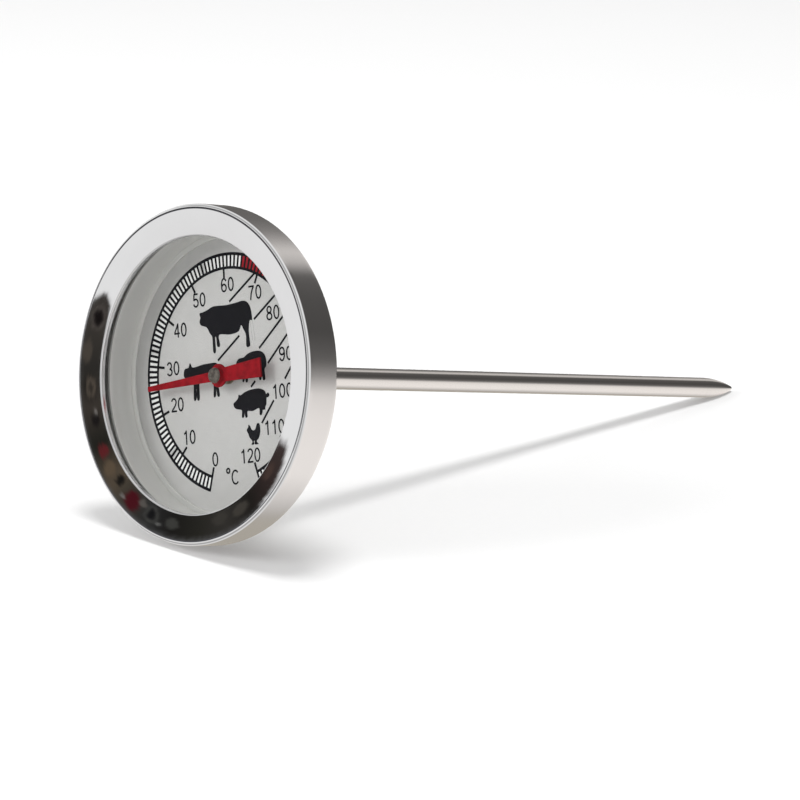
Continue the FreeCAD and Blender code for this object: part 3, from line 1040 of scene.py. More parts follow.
@dataclass
class CaseBack:
    """Drawn cup behind the dial with its boss, and the bush and ring that hold the stem."""

    shop: Workshop
    sheet: float = 0.4
    corner: float = 1.1
    boss: float = 7.0
    bezel_roll: float = 3.1
    seat: float = 6.74
    head: float = 1.0
    groove_mouth: float = 0.25
    groove_floor: float = 0.1
    groove_depth: float = 0.2

    def build(self) -> None:
        """Turn the cup, the bush and the clamp ring."""
        axis = self.shop.axis
        span, bush, clamp = axis.span("case_back"), axis.span("stem_bush"), axis.span("clamp_ring")
        bezel, plate = axis.span("bezel_ring"), axis.span("dial_plate")
        back = plate.back + self.sheet
        boss, seat, cup = self.boss, self.seat, bezel.outer - self.bezel_roll
        floor = span.back
        self.shop.turn(
            "back_cup",
            [
                (span.inner, floor - self.sheet, 0.05),
                (boss, floor - self.sheet, 0.25),
                (boss, plate.back, 0.3),
                (cup - self.sheet, plate.back, self.corner - self.sheet),
                (cup - self.sheet, seat - self.sheet, 0.2),
                (span.outer, seat - self.sheet, 0.05),
                (span.outer, seat, 0.05),
                (cup, seat, 0.2),
                (cup, back, self.corner),
                (boss + self.sheet, back, 0.3),
                (boss + self.sheet, floor, 0.5),
                (span.inner, floor, 0.08),
            ],
            "satin_steel",
            "case_back",
            arc=11,
        )
        self.shop.turn(
            "stem_collar",
            [
                (bush.inner, bush.front, 0.08),
                (bush.outer, bush.front, 0.2),
                (bush.outer, bush.front + self.head, 0.08),
                (clamp.inner, bush.front + self.head, 0.03),
                (clamp.inner, bush.back, 0.3),
                (bush.inner, bush.back, 0.12),
            ],
            "turned_steel",
            "stem_bush",
            steps=128,
        )
        groove = 0.5 * (clamp.front + clamp.back)
        floor_radius = clamp.outer - self.groove_depth
        self.shop.turn(
            "press_ring",
            [
                (clamp.inner, clamp.front, 0.08),
                (clamp.outer, clamp.front, 0.12),
                (clamp.outer, groove - self.groove_mouth, 0.08),
                (floor_radius, groove - self.groove_floor, 0.05),
                (floor_radius, groove + self.groove_floor, 0.05),
                (clamp.outer, groove + self.groove_mouth, 0.08),
                (clamp.outer, clamp.back, 0.35),
                (clamp.inner, clamp.back, 0.12),
            ],
            "turned_steel",
            "clamp_ring",
            steps=128,
        )


@dataclass
class Stem:
    """Polished tube with an ogive point let into its end."""

    shop: Workshop
    sheet: float = 0.25
    point: float = 8.4
    nose: float = 0.4
    bevel: float = 0.2
    joint: float = 0.02

    def build(self) -> None:
        """Turn the tube with its narrowed front end, and the point with its spigot."""
        axis = self.shop.axis
        tube, tip = axis.span("stem_tube"), axis.span("stem_tip")
        bore, neck = tube.outer - self.sheet, tube.inner + self.sheet
        shoulder = axis.span("stem_bush").back
        self.shop.turn(
            "stem",
            [
                (tube.inner, tube.front, 0.05),
                (neck, tube.front, 0.06),
                (neck, shoulder, 0.03),
                (tube.outer, shoulder, 0.1),
                (tube.outer, tube.back, 0.012),
                (bore, tube.back, 0.02),
                (bore, shoulder + self.sheet, 0.06),
                (tube.inner, shoulder + self.sheet, 0.03),
            ],
            "stem_steel",
            "stem_tube",
            steps=192,
        )
        piece = turned("stem_point", axis, self._ogive(tube, tip), Seam.POLES, 192)
        self.shop.dress(piece, "stem_steel", Body.CASE, "stem_tip")

    def _ogive(self, tube: Span, tip: Span) -> np.ndarray:
        """The point's outline from pole to pole.

        The flank is a circle that leaves the tube along the axis: radius = tube radius - swing +
        the root of swing squared less the distance squared. The nose is a small circle that it
        runs into where both share a tangent.

        Args:
            tube: The tube's span.
            tip: The point's span.

        Returns:
            The outline.
        """
        reach = self.point - self.nose
        radius = tube.outer
        swing = (radius**2 + reach**2 - self.nose**2) / (2 * (radius - self.nose))
        touch = math.atan2(reach, swing - radius)
        flank = np.linspace(0.0, touch, 40)
        side = np.column_stack(
            [radius - swing + swing * np.cos(flank), tube.back + swing * np.sin(flank)]
        )
        sweep = np.linspace(touch, math.pi / 2, 14)[1:]
        nose_centre = tip.back - self.nose
        cap = np.column_stack(
            [self.nose * np.cos(sweep), nose_centre + self.nose * np.sin(sweep)]
        )
        bore = radius - self.sheet
        spigot = [(0.0, tip.front), (bore - self.bevel, tip.front), (bore, tip.front + self.bevel)]
        root = [(bore, tube.back), (radius - self.joint, tube.back)]
        cap[-1, 0] = 0.0
        return np.vstack([spigot, root, side, cap])


# ---------------------------------------------------------------- dial


@dataclass(frozen=True)
class Silhouette:
    """An animal in plain outline, drawn level and facing left, about its own middle."""

    name: str
    middle: tuple[float, float]
    outline: tuple[tuple[float, float], ...]


COW = Silhouette(
    "cow_mark",
    (0.0, 7.0),
    (
        (-5.75, 1.1), (-5.98, 1.6), (-5.75, 2.2), (-5.9, 2.85), (-5.2, 2.95), (-4.1, 3.2),
        (-2.7, 3.6), (0.0, 3.5), (2.2, 3.6), (3.9, 3.75), (4.9, 3.35), (5.5, 2.3), (5.7, 0.6),
        (5.95, -1.2), (6.05, -2.3), (5.65, -2.35), (5.5, -1.1), (5.3, 0.6), (5.05, 0.5),
        (4.8, -0.9), (4.95, -2.9), (4.85, -3.25), (4.2, -3.2), (4.2, -1.5), (3.7, -0.5),
        (3.2, 0.15), (2.5, -0.75), (0.6, -1.0), (-1.8, -0.85), (-1.75, -2.5), (-2.3, -2.5),
        (-2.45, -1.2), (-2.75, -1.2), (-2.75, -3.3), (-3.25, -3.3), (-3.3, -1.1), (-3.8, -0.4),
        (-4.4, 0.55), (-5.1, 0.85),
    ),
)
CALF = Silhouette(
    "calf_mark",
    (-6.2, -0.6),
    (
        (-3.9, 1.0), (-4.0, 1.6), (-3.7, 2.2), (-2.9, 2.35), (-2.5, 3.0), (-2.1, 2.35),
        (-1.2, 2.3), (0.3, 2.5), (2.0, 2.55), (3.3, 2.5), (3.95, 1.9), (4.2, 0.6), (4.3, -0.9),
        (4.0, -1.0), (3.8, 0.3), (3.6, -0.8), (3.8, -2.5), (3.35, -2.55), (3.15, -1.2),
        (2.95, -2.5), (2.5, -2.55), (2.6, -0.8), (2.0, 0.1), (0.5, -0.05), (-0.6, -0.1),
        (-0.75, -2.6), (-1.25, -2.65), (-1.35, -1.0), (-1.5, -2.6), (-2.0, -2.6), (-1.9, -0.2),
        (-2.4, 0.6), (-3.1, 0.75),
    ),
)
SHEEP = Silhouette(
    "sheep_mark",
    (5.0, 0.6),
    (
        (-3.2, 0.15), (-3.35, 0.6), (-2.9, 1.3), (-2.3, 1.45), (-1.6, 1.5), (-0.7, 1.95),
        (0.5, 2.2), (1.9, 2.15), (2.8, 1.7), (3.25, 0.8), (3.2, -0.2), (2.8, -0.7),
        (2.85, -2.15), (2.4, -2.2), (2.25, -0.95), (2.0, -2.1), (1.6, -2.1), (1.5, -0.8),
        (0.3, -0.95), (-0.9, -0.8), (-1.0, -2.15), (-1.4, -2.15), (-1.45, -0.9), (-1.75, -2.05),
        (-2.1, -2.0), (-1.9, -0.4), (-2.3, 0.05), (-2.7, 0.1),
    ),
)
PIG = Silhouette(
    "pig_mark",
    (4.6, -4.85),
    (
        (-3.85, -0.35), (-3.95, 0.15), (-3.5, 0.4), (-2.9, 0.85), (-2.75, 1.35), (-2.3, 1.25),
        (-1.3, 1.65), (0.2, 1.9), (1.8, 1.9), (2.9, 1.5), (3.3, 0.9), (3.7, 1.1), (3.95, 0.75),
        (3.7, 0.5), (3.3, 0.4), (3.2, -0.5), (2.9, -1.1), (2.95, -2.0), (2.5, -2.0),
        (2.35, -1.2), (2.1, -2.0), (1.7, -2.0), (1.6, -1.0), (0.2, -1.3), (-1.0, -1.25),
        (-1.1, -2.1), (-1.5, -2.1), (-1.6, -1.2), (-1.85, -2.05), (-2.25, -2.05), (-2.2, -1.05),
        (-2.9, -0.8), (-3.4, -0.7),
    ),
)
HEN = Silhouette(
    "hen_mark",
    (4.75, -9.75),
    (
        (-1.5, 0.72), (-1.2, 1.1), (-1.05, 1.5), (-0.75, 1.2), (-0.5, 0.75), (0.0, 0.55),
        (0.45, 0.8), (0.8, 1.5), (1.25, 1.5), (1.4, 0.8), (1.3, 0.0), (0.95, -0.65),
        (0.55, -0.95), (0.5, -1.25), (0.85, -1.5), (0.1, -1.5), (0.15, -1.0), (-0.15, -1.0),
        (-0.15, -1.5), (-0.6, -1.5), (-0.4, -1.2), (-0.45, -0.9), (-0.95, -0.4), (-1.2, 0.2),
    ),
)


@dataclass
class Dial:
    """Silver plate with the scale, its numbers, the animals and the lines that lead to them."""

    shop: Workshop
    roll: float = 16.0
    zero: float = 268.0
    per_degree: float = -2.7
    hottest: float = 120.0
    red_from: float = 65.0
    red_to: float = 90.0
    outer_line: tuple[float, float] = (18.15, 18.62)
    inner_line: tuple[float, float] = (16.05, 16.48)
    tick: float = 0.40
    long_tick: float = 14.75
    lead: float = 0.36
    figure: float = 2.22
    pen: float = 0.125
    advance: float = 0.70
    bold: float = 0.05
    lift: float = 0.35
    cover: float = 0.02

    numbers: tuple[tuple[str, float, float], ...] = (
        ("0", -0.45, -13.5), ("10", -6.93, -11.32), ("20", -10.6, -6.88), ("30", -12.7, -1.57),
        ("40", -12.25, 4.6), ("50", -8.95, 9.9), ("60", -3.15, 13.3), ("70", 3.13, 13.15),
        ("80", 7.63, 10.8), ("90", 11.6, 5.2), ("100", 12.0, -0.43), ("110", 11.4, -6.13),
        ("120", 7.1, -11.4),
    )
    leads: tuple[tuple[float, float, float, float], ...] = (
        (2.62, 16.15, -2.19, 10.8), (7.72, 13.65, 3.76, 9.09), (1.06, 6.09, -2.88, 1.5),
        (10.12, 10.89, 5.77, 4.98), (11.56, 8.43, 8.11, 3.09), (5.92, -0.06, 5.17, -1.11),
        (13.27, 3.69, 12.22, 1.44), (10.51, -2.17, 8.62, -6.07),
    )

    def angle(self, temperature: Union[float, np.ndarray]) -> Union[float, np.ndarray]:
        """Where a temperature lies on the scale, in degrees from across towards up."""
        return self.zero + self.per_degree * temperature

    def build(self) -> None:
        """Coat the plate and lay the print on it, colour by colour."""
        self.shop.coat("dial_face", "dial_plate")
        face = self.shop.axis.span("dial_plate").front
        self._bands(face)
        self._scale(face)
        self._figures(face)
        self._marks(face)

    def _bands(self, face: float) -> None:
        """The white band under the ticks, and its red part."""
        inner, outer = self.inner_line[1] - 0.1, self.outer_line[0] + 0.1
        white = [
            arc_patches(inner, outer, self.angle(a), self.angle(b), 2.7)
            for a, b in ((0.0, self.red_from), (self.red_to, self.hottest))
        ]
        self._lay("scale_white", np.concatenate(white), face, "print_white")
        red = arc_patches(inner, outer, self.angle(self.red_from), self.angle(self.red_to), 2.7)
        self._lay("scale_red", red, face, "print_red")

    def _scale(self, face: float) -> None:
        """Both ring lines, a tick at each degree and a long one at each ten."""
        ends = self.angle(0.0), self.angle(self.hottest)
        rings = [arc_patches(*line, *ends, 1.35) for line in (self.outer_line, self.inner_line)]
        degrees = np.arange(self.hottest + 1)
        ray = np.radians(self.angle(degrees))
        ray = np.stack([np.cos(ray), np.sin(ray)], -1)
        low = np.where(degrees % 10 == 0, self.long_tick, self.inner_line[0] + 0.05)[:, None]
        ticks = bars(ray * low, ray * (self.outer_line[1] - 0.05), self.tick)
        self._lay("scale_black", np.concatenate([*rings, ticks]), face)

    def _turned(self, flat: np.ndarray, size: float, middle: tuple[float, float]) -> np.ndarray:
        """Scale a flat shape, turn it by the dial's roll and move its middle."""
        tilt = math.radians(self.roll)
        turn = np.array([[math.cos(tilt), math.sin(tilt)], [-math.sin(tilt), math.cos(tilt)]])
        return (flat * size) @ turn + np.array(middle)

    def _lay(self, name: str, quads: np.ndarray, face: float, slot: str = "dial_print") -> None:
        """Lay patches on the dial, black over white and red."""
        thick = self.cover if slot == "dial_print" else self.cover / 2
        quads = quads + (0.0, self.lift)
        piece = slabs(name, self.shop.axis, quads, face - thick, thick)
        self.shop.dress(piece, slot, Body.CASE)

    def _figures(self, face: float) -> None:
        """The numbers and the degree sign, written with one pen along the dial's roll."""
        patches = []
        for text, across, up in self.numbers + (("C", 4.45, -15.3), ("o", 2.75, -14.65)):
            size = {"o": 0.85, "C": self.figure * 1.05}.get(text, self.figure)
            for place, mark in enumerate(text):
                shift = (place - (len(text) - 1) / 2) * self.advance
                for line in glyph(mark):
                    quads = stroke(line, self.pen * self.figure / size) + (shift, -0.5)
                    patches.append(self._turned(quads, size, (across, up)))
        self._lay("figures", np.concatenate(patches), face)

    def _marks(self, face: float) -> None:
        """The lead lines, and the animals at their ends."""
        table = np.array(self.leads)
        self._lay("lead_lines", bars(table[:, :2], table[:, 2:], self.lead), face)
        for mark in (COW, CALF, SHEEP, PIG, HEN):
            places, faces = filled(grown(smoothed(mark.outline), self.bold))
            middle = self._turned(np.array(mark.middle), 1.0, (0.0, self.lift))
            places[:, :2] = self._turned(places[:, :2], 1.0, middle)
            front = face - self.cover
            piece = printed(mark.name, self.shop.axis, places, faces, front, self.cover)
            self.shop.dress(piece, "dial_print", Body.CASE)


# ---------------------------------------------------------------- movement


@dataclass
class Pointer:
    """Red pointer plate with its rivet head."""

    shop: Workshop
    direction: float = 198.2
    reach: float = 16.1
    tail: float = 9.4
    pad: float = 1.8
    needle: tuple[float, float] = (1.6, 0.8)
    broad: tuple[float, float] = (2.0, 3.0)
    rim: float = 0.09
    head: tuple[tuple[float, float], ...] = (
        (0.0, 0.2), (0.16, 0.2), (0.27, 0.07), (0.42, 0.0), (0.68, 0.05), (0.9, 0.17),
        (1.08, 0.36), (1.17, 0.56), (1.2, 0.72), (1.14, 0.8), (0.95, 0.82),
    )
    shank: float = 0.95
    bore: float = 0.5
    bore_depth: float = 0.2
    collar: tuple[float, float, float] = (0.9, 1.12, 1.2)
    collar_drop: float = 0.78
    overlap: float = 0.02

    def build(self) -> None:
        """Make the plate, the rivet and the red collar under the rivet's head."""
        span = self.shop.axis.span("pointer")
        self.shop.dress(self._plate(span), "red_paint", Body.MOVEMENT, "pointer")
        self.shop.dress(self._rivet(span), "hub_metal", Body.MOVEMENT, "pointer_hub")
        self.shop.dress(self._neck(span), "red_paint", Body.MOVEMENT)

    def _plate(self, span: Span) -> bpy.types.Object:
        """The plate as a grid of stations along it by points round each station's section.

        The half width at a station is the greatest of the needle's or the tail's taper there and
        the round pad's chord. The section is a flat bar whose edges are rounded off by rim.

        Args:
            span: The CAD pointer's span, which gives its depth.

        Returns:
            The piece.
        """
        pad_x = -self.pad * np.cos(np.linspace(0, math.pi, 81))
        x = np.unique(np.concatenate([np.linspace(-self.tail, self.reach, 161), pad_x]))
        forward = np.interp(x, (0.0, self.reach), np.array(self.needle) / 2)
        behind = np.interp(-x, (0.0, self.tail), np.array(self.broad) / 2)
        chord = np.sqrt(np.clip(self.pad**2 - x**2, 0.0, None))
        half = np.maximum(np.where(x > 0, forward, behind), chord)
        thick = span.back - span.front
        section = rounded(
            [(-1, 0, self.rim), (1, 0, self.rim), (1, thick, self.rim), (-1, thick, self.rim)], 5
        )
        inset = np.abs(section[:, 0]) - 1.0
        across = np.sign(section[:, 0])[None] * (half[:, None] + inset[None])
        turn = math.radians(self.direction)
        along = np.broadcast_to(x[:, None], across.shape)
        right = along * math.cos(turn) - across * math.sin(turn)
        up = along * math.sin(turn) + across * math.cos(turn)
        depth = np.broadcast_to(span.front + section[None, :, 1], across.shape)
        places = self.shop.axis.face(right, up, depth).reshape(-1, 3)
        columns = len(section)
        quads = grid_faces(len(x), columns, False, True).reshape(-1, 4).tolist()
        ends = [list(range(columns)), list(range(len(places) - columns, len(places)))]
        return finished("pointer_plate", mesh_of("pointer_plate", places, quads + ends))

    def _rivet(self, span: Span) -> bpy.types.Object:
        """The rivet's domed head, with the spindle's end in a dimple, and its flange behind."""
        hub = self.shop.axis.span("pointer_hub")
        dome = [(radius, hub.front + drop) for radius, drop in self.head]
        rest = [
            (self.shank, span.back), (hub.outer - 0.08, span.back),
            (hub.outer, span.back + 0.1), (hub.outer, hub.back - 0.08), (hub.outer - 0.1, hub.back),
            (self.bore, hub.back), (self.bore, hub.back - self.bore_depth),
            (0.0, hub.back - self.bore_depth),
        ]
        return turned("rivet", self.shop.axis, np.array(dome + rest), Seam.POLES, 96)

    def _neck(self, span: Span) -> bpy.types.Object:
        """The collar below the head, which took the plate's paint."""
        top = self.shop.axis.span("pointer_hub").front + self.collar_drop
        bore, rim, foot = self.collar
        collar = rounded(
            [
                (bore, top, 0.02),
                (rim, top, 0.05),
                (foot, span.front - self.overlap, 0.03),
                (foot, span.front + self.overlap, 0.01),
                (bore, span.front + self.overlap, 0.01),
            ]
        )
        return turned("rivet_collar", self.shop.axis, collar, steps=96)


@dataclass
class Movement:
    """The parts behind the dial: spindle, guides, bimetal coil and its fastenings."""

    shop: Workshop

    def build(self) -> None:
        """Coat the CAD pieces, which are already the right shape."""
        self.shop.coat("brass", "dial_bush", "upper_guide", "lower_guide")
        self.shop.coat("turned_steel", "coil_anchor", "coil_collar", "spindle")
        self.shop.coat("bimetal_strip", "bimetal_coil")


# ---------------------------------------------------------------- studio


def fade(value: np.ndarray, low: Any, high: Any) -> np.ndarray:
    """Rise smoothly from 0 at low to 1 at high."""
    t = np.clip((value - low) / (high - low), 0.0, 1.0)
    return t * t * (3.0 - 2.0 * t)


def band(value: np.ndarray, low: float, high: float, falls: float, gone: float) -> np.ndarray:
    """Rise smoothly from 0 at low to 1 at high, and fall back to 0 from falls to gone."""
    return fade(value, low, high) * (1.0 - fade(value, falls, gone))


def blend(first: Any, second: Any, share: np.ndarray) -> np.ndarray:
    """Mix two colours, or two tables of colours, by each row's share of the second."""
    share = share[:, None]
    return np.asarray(first) * (1.0 - share) + np.asarray(second) * share


@dataclass(frozen=True)
class Lamp:
    """A round lamp that faces the origin, in metres and watts."""

    name: str
    place: tuple[float, float, float]
    size: float
    power: float


@dataclass(frozen=True)
class Blob:
    """A soft patch of the surround, by where the flange mirrors it towards the camera.

    angle is round the flange from the reader's right towards up, share runs from -1 at the
    flange's outer edge to 1 at the window, and wide and tall are half sizes in the same units.
    """

    angle: float
    share: float
    wide: float
    tall: float
    colour: Colour


@dataclass
class Studio:
    """White table, soft lights, camera, and the surround that shows in the polished metal.

    The surround's dark arc is given round the flange in degrees and across it in shares, as a
    Blob is. Its other parts go by how far a face leans from the axis, in degrees: the side's tones
    by its angle round the axis, and bands as the four numbers that band takes.
    """

    shop: Workshop
    azimuth: float = 45.349
    elevation: float = 15.072
    lens: float = 166.5
    eye: tuple[float, float, float] = (0.4085, -0.4197, 0.1686)
    dished: tuple[float, float] = (10.3, 1.9)
    flange_middle: float = 23.2
    flange_arc: float = 1.4
    flange_depth: float = 0.4
    table_radius: float = 8.0
    dome_radius: float = 12.0
    sky: float = 0.62
    lamps: tuple[Lamp, ...] = (
        Lamp("overhead", (0.0, 0.0, 1.2), 0.46, 7.8),
        Lamp("fill", (-0.45, -1.0, 0.5), 0.6, 6.5),
    )
    high_room: Colour = (0.96, 0.96, 0.955)
    low_room: Colour = (0.88, 0.87, 0.86)
    low_from: tuple[float, float] = (-25.0, 5.0)
    viewer: Colour = (0.08, 0.08, 0.09)
    viewer_lean: tuple[float, float] = (3.5, 5.0)
    lip_lean: tuple[float, float, float, float] = (18.0, 26.0, 34.0, 50.0)
    lip_turn: tuple[float, float] = (95.0, 120.0)
    lip_shade: float = 0.5
    side_lean: tuple[float, float] = (55.0, 72.0)
    side_tint: Colour = (1.04, 0.985, 0.938)
    warm_tint: Colour = (1.08, 1.0, 0.87)
    warm_turn: tuple[float, float, float, float] = (-84.0, -72.0, -50.0, -38.0)
    arc_start: float = 158.5
    arc_bulge: float = 4.0
    arc_soft: float = 0.8
    arc_end: tuple[float, float] = (342.0, 345.0)
    border: float = -2.2
    border_rises: tuple[tuple[float, float, float, float], ...] = (
        (300.0, 25.0, 1.15, 1.0), (330.0, 15.0, 1.0, 2.0),
    )
    border_soft: float = 0.2
    edge_share: tuple[float, float] = (-1.3, -0.9)
    edge_light: float = 0.11
    edge_cover: float = 0.8
    side_tones: tuple[tuple[float, float], ...] = (
        (-90, 0.80), (-85, 0.78), (-75, 0.40), (-65, 0.41), (-55, 0.44), (-45, 0.47), (-35, 0.74),
        (-25, 0.97), (-15, 0.97), (-5, 0.94), (4, 0.84), (10, 0.34), (15, 0.13), (25, 0.075),
        (37, 0.09), (46, 0.12), (51, 0.55), (56, 0.70), (62, 0.40), (67, 0.24), (75, 0.155),
        (85, 0.135), (90, 0.135), (100, 0.5), (120, 0.85), (180, 0.85),
    )
    ring_tones: tuple[tuple[float, Colour], ...] = (
        (150, (0.050, 0.044, 0.040)), (172, (0.050, 0.044, 0.038)), (188, (0.030, 0.028, 0.025)),
        (203, (0.050, 0.042, 0.035)), (218, (0.018, 0.018, 0.015)), (234, (0.100, 0.078, 0.056)),
        (243, (0.050, 0.045, 0.036)), (256, (0.030, 0.030, 0.030)), (270, (0.014, 0.013, 0.012)),
        (285, (0.024, 0.023, 0.019)), (300, (0.040, 0.037, 0.033)), (315, (0.018, 0.016, 0.014)),
        (330, (0.042, 0.029, 0.027)), (350, (0.060, 0.045, 0.042)),
    )
    blobs: tuple[Blob, ...] = (
        Blob(168.5, 0.0, 5.0, 0.95, (0.090, 0.078, 0.070)),
        Blob(168.5, 0.0, 3.6, 0.70, (0.010, 0.008, 0.008)),
        Blob(182.0, -0.5, 4.5, 0.6, (0.075, 0.063, 0.052)),
        Blob(195.5, 0.0, 5.2, 0.9, (0.020, 0.018, 0.016)),
        Blob(195.5, 0.1, 4.2, 0.7, (0.095, 0.078, 0.062)),
        Blob(195.5, 0.1, 2.2, 0.35, (0.040, 0.034, 0.028)),
        Blob(208.0, 0.2, 3.0, 0.5, (0.014, 0.012, 0.012)),
        Blob(221.0, 0.1, 2.7, 0.7, (0.125, 0.020, 0.023)),
        Blob(228.5, -0.1, 3.6, 0.8, (0.120, 0.088, 0.058)),
        Blob(235.5, 0.3, 2.4, 0.6, (0.012, 0.011, 0.010)),
        Blob(246.0, -0.1, 4.2, 1.0, (0.075, 0.009, 0.014)),
        Blob(251.5, 0.5, 2.0, 0.5, (0.110, 0.100, 0.090)),
        Blob(258.0, 0.1, 4.0, 0.9, (0.062, 0.062, 0.058)),
        Blob(258.0, 0.1, 2.7, 0.6, (0.010, 0.010, 0.011)),
        Blob(270.0, 0.1, 3.5, 0.6, (0.055, 0.055, 0.050)),
        Blob(297.0, 0.3, 4.5, 0.6, (0.050, 0.046, 0.040)),
        Blob(309.0, 0.1, 4.5, 0.6, (0.060, 0.054, 0.046)),
        Blob(330.0, 0.5, 4.0, 0.6, (0.070, 0.045, 0.038)),
        Blob(205.0, 0.4, 0.9, 0.2, (0.30, 0.28, 0.26)),
        Blob(241.0, -0.5, 0.9, 0.2, (0.26, 0.25, 0.24)),
        Blob(263.0, -0.4, 1.0, 0.2, (0.26, 0.26, 0.25)),
    )

    def build(self) -> None:
        """Lay the table, hang the surround, and set lights and camera."""
        self._table()
        self._surround()
        self._lights()
        self._camera()

    def _table(self) -> None:
        """A flat ring grid that reaches past the horizon of every view."""
        radius = np.concatenate([[0.0], np.geomspace(0.05, self.table_radius, 24)])[None]
        angle = (np.arange(96) * (2 * math.pi / 96))[:, None]
        places = np.stack([radius * np.cos(angle), radius * np.sin(angle), 0 * radius * angle], -1)
        quads = grid_faces(96, radius.size, True, False)
        table = finished("table", mesh_of("table", places, quads))
        table.data.materials.append(TableTop().material(self.shop.axis))
        table.visible_glossy = False

    def _sight(self) -> np.ndarray:
        """The direction that the camera looks in."""
        turn, lift = math.radians(self.azimuth), math.radians(self.elevation)
        level = math.cos(lift)
        return np.array([-math.sin(turn) * level, math.cos(turn) * level, -math.sin(lift)])

    def _on_flange(self, ways: np.ndarray) -> tuple[np.ndarray, np.ndarray, np.ndarray]:
        """Where the dished flange mirrors each direction towards the camera.

        A table of faces round the flange and across it is mirrored from the camera, and each
        direction takes the face whose mirrored direction is nearest.

        Args:
            ways: Unit directions as an array of (n, 3).

        Returns:
            The angle round the flange in degrees, the share of its width from -1 at the outer edge
            to 1 at the window, and how far the nearest mirrored direction is, in degrees.
        """
        axis = self.shop.axis
        angle, share = np.meshgrid(np.arange(0.0, 360.0, 1.0), np.linspace(-1.8, 1.8, 19))
        angle, share = angle.ravel(), share.ravel()
        turn, lean = np.radians(angle), np.radians(self.dished[0] + self.dished[1] * share)
        spoke = np.cos(turn)[:, None] * axis.across + np.sin(turn)[:, None] * axis.up
        normal = -np.cos(lean)[:, None] * axis.along - np.sin(lean)[:, None] * spoke
        radius = self.flange_middle - self.flange_arc * share
        sight = axis.round(radius, turn, np.full(len(turn), self.flange_depth))
        sight = sight - np.array(self.eye)
        sight /= np.linalg.norm(sight, axis=1, keepdims=True)
        seen = sight - 2.0 * np.sum(sight * normal, axis=1, keepdims=True) * normal
        middle = seen.mean(axis=0) / np.linalg.norm(seen.mean(axis=0))
        near = np.flatnonzero(ways @ middle > math.cos(math.radians(40.0)))
        nearest = [np.argmax(some @ seen.T, axis=1) for some in np.array_split(ways[near], 16)]
        nearest = np.concatenate(nearest)
        away = np.full(len(ways), 90.0)
        cosine = np.sum(ways[near] * seen[nearest], axis=1)
        away[near] = np.degrees(np.arccos(np.clip(cosine, -1.0, 1.0)))
        ring, across = np.zeros(len(ways)), np.zeros(len(ways))
        ring[near], across[near] = angle[nearest], share[nearest]
        return ring, across, away

    def _ring_light(self, ways: np.ndarray) -> tuple[np.ndarray, np.ndarray]:
        """The dark part of the surround that the dished flange mirrors.

        Args:
            ways: Unit directions as an array of (n, 3).

        Returns:
            How fully the dark covers each direction, and its colour there.
        """
        ring, share, away = self._on_flange(ways)
        start = self.arc_start + self.arc_bulge * share**2
        border = self.border + sum(
            rise * np.clip((ring - angle) / reach, 0.0, 1.0) ** power
            for angle, reach, rise, power in self.border_rises
        )
        cover = band(ring, start - self.arc_soft, start + self.arc_soft, *self.arc_end)
        cover = cover * fade(share, border - self.border_soft, border + self.border_soft)
        cover = cover * (1.0 - fade(away, 0.8, 2.2))
        angles = [angle for angle, _ in self.ring_tones]
        colours = np.array([colour for _, colour in self.ring_tones])
        shade = np.stack([np.interp(ring, angles, colours[:, k]) for k in range(3)], -1)
        for blob in self.blobs:
            apart = np.hypot((ring - blob.angle) / blob.wide, (share - blob.share) / blob.tall)
            shade = blend(shade, blob.colour, 1.0 - fade(apart, 0.8, 1.1))
        edge = (1.0 - fade(share, *self.edge_share)) * self.edge_cover
        return cover, blend(shade, (self.edge_light,) * 3, edge)

    def _light_from(self, ways: np.ndarray) -> np.ndarray:
        """Light of the surround in each direction, as RGB.

        Each direction is known by the face that mirrors it towards the camera, which stands half
        way between it and the line of sight to the dial: by the face's angle round the instrument
        axis and its lean from the axis. Faces near the dished flange's lean see its dark arc, and
        faces square to the axis see the bands of the case's side.

        Args:
            ways: Unit directions as an array of (n, 3).

        Returns:
            An array of (n, 3).
        """
        axis = self.shop.axis
        sight = axis.centre - np.array(self.eye)
        facing = ways - sight / np.linalg.norm(sight)
        facing /= np.maximum(np.linalg.norm(facing, axis=1, keepdims=True), 1e-9)
        lean = np.degrees(np.arccos(np.clip(-(facing @ axis.along), -1.0, 1.0)))
        turn = np.degrees(np.arctan2(facing @ axis.up, facing @ axis.across))
        height = np.degrees(np.arcsin(np.clip(ways[:, 2], -1, 1)))
        light = blend(self.low_room, self.high_room, fade(height, *self.low_from))
        light = blend(self.viewer, light, fade(lean, *self.viewer_lean))
        lip = band(lean, *self.lip_lean) * (1.0 - fade(abs(turn), *self.lip_turn))
        light = light * (1.0 - self.lip_shade * lip[:, None])
        cover, shade = self._ring_light(ways)
        light = blend(light, shade, cover)
        angles, tones = np.array(self.side_tones).T
        tint = blend(self.side_tint, self.warm_tint, band(turn, *self.warm_turn))
        side = np.interp(turn, angles, tones)[:, None] * tint
        return blend(light, side, fade(lean, *self.side_lean))

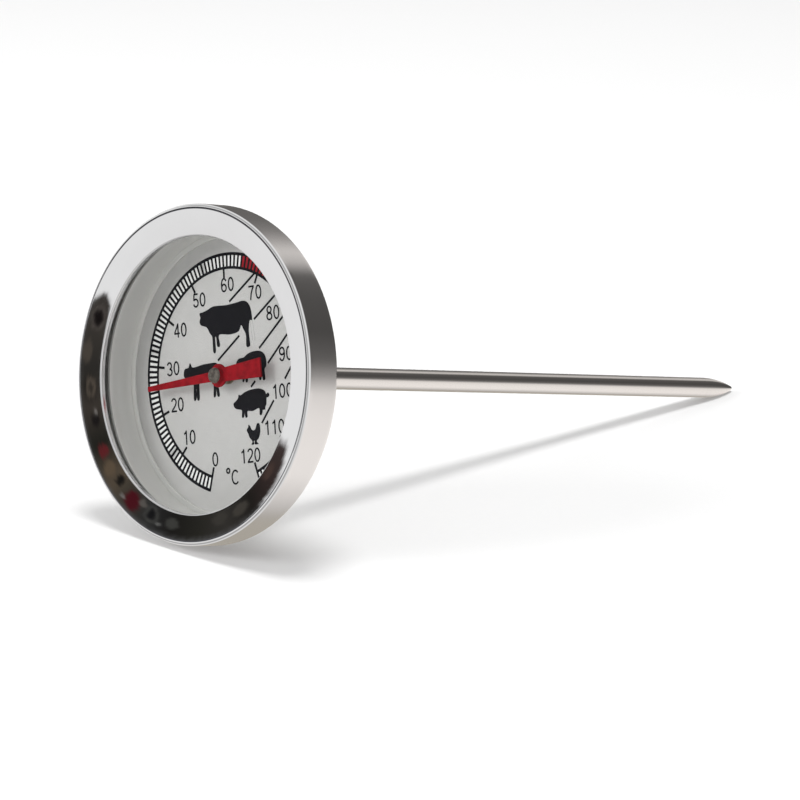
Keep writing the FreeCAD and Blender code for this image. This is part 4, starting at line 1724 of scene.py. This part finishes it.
    def _surround(self) -> None:
        """A dome that shows in reflections only.

        Its light is stored at its vertices, which stand closer where the flange mirrors it.
        """
        below, above = np.linspace(-90, -26, 50, False), np.linspace(28, 90, 48)[1:]
        tilt = np.concatenate([below, np.linspace(-26, 28, 136), above])
        mirrored, others = np.linspace(-175, -100, 188, False), np.linspace(-100, 185, 212, False)
        turn = np.concatenate([mirrored, others])
        rows, columns = len(tilt), len(turn)
        tilt, turn = np.radians(tilt)[:, None], np.radians(turn)[None]
        ways = np.stack(
            [np.cos(tilt) * np.sin(turn), np.cos(tilt) * np.cos(turn), np.sin(tilt) + 0 * turn], -1
        ).reshape(-1, 3)
        quads = grid_faces(rows, columns, False, True)
        mesh = mesh_of("surround", ways * self.dome_radius, quads)
        layer = mesh.color_attributes.new("light", "FLOAT_COLOR", "POINT")
        shown = np.column_stack([self._light_from(ways), np.ones(len(ways))])
        layer.data.foreach_set("color", shown.astype(np.float32).ravel())
        dome = bpy.data.objects.new("surround", mesh)
        bpy.context.scene.collection.objects.link(dome)
        g = Graph("surround_light", self.shop.axis)
        light = g.node("Attribute", {"attribute_name": "light"})["Color"]
        glow = g.node("Emission", {}, {"Color": light, "Strength": 1.0})[0]
        mesh.materials.append(g.output(glow))
        dome.visible_camera = dome.visible_diffuse = dome.visible_shadow = False
        dome.visible_transmission = False

    def _lights(self) -> None:
        """Even white sky, a lamp straight overhead and a fill up on the reader's left."""
        world = bpy.data.worlds.new("studio_sky")
        world.use_nodes = True
        sky = world.node_tree.nodes["Background"]
        sky.inputs["Color"].default_value = (1.0, 1.0, 1.0, 1.0)
        sky.inputs["Strength"].default_value = self.sky
        bpy.context.scene.world = world
        for lamp in self.lamps:
            data = bpy.data.lights.new(lamp.name, "AREA")
            data.shape = "DISK"
            data.size, data.energy = lamp.size, lamp.power
            holder = bpy.data.objects.new(lamp.name, data)
            holder.location = lamp.place
            holder.rotation_euler = (-Vector(lamp.place)).to_track_quat("-Z", "Y").to_euler()
            holder.visible_glossy = False
            bpy.context.scene.collection.objects.link(holder)

    def _camera(self) -> None:
        """A long lens from the reader's right and a little above."""
        data = bpy.data.cameras.new("camera")
        data.lens, data.sensor_width = self.lens, 36.0
        data.clip_start, data.clip_end = 0.01, 50.0
        camera = bpy.data.objects.new("camera", data)
        camera.location = self.eye
        camera.rotation_euler = Vector(self._sight()).to_track_quat("-Z", "Y").to_euler()
        bpy.context.scene.collection.objects.link(camera)
        bpy.context.scene.camera = camera
        bpy.context.scene.view_settings.view_transform = "Standard"


# ---------------------------------------------------------------- build


def main() -> None:
    """Build every sub-assembly in order."""
    logging.basicConfig(level=logging.INFO, format="%(name)s: %(message)s")
    shop = Workshop(Axis.from_joint(frame["joints"][0]))
    shop.stock(
        MirrorSteel(),
        SatinSteel(),
        StemSteel(),
        TurnedMetal(),
        TurnedMetal("brass", (0.40, 0.34, 0.24), 0.26, 0.09),
        BimetalStrip(),
        BlackSeal(),
        WindowGlass(),
        DialCoat(),
        PrintInk("dial_print", (0.004, 0.004, 0.006), (0.008, 0.008, 0.012)),
        PrintInk("print_white", (0.90, 0.90, 0.89), (0.84, 0.84, 0.83)),
        PrintInk("print_red", (0.36, 0.010, 0.018), (0.29, 0.008, 0.014)),
        PointerPaint(),
        HubMetal(),
    )
    for part in (BezelRing, Window, InnerWall, Dial, CaseBack, Stem, Movement, Pointer, Studio):
        part(shop).build()
        LOG.info("%s done", part.__name__)


if __name__ == "__main__":
    main()
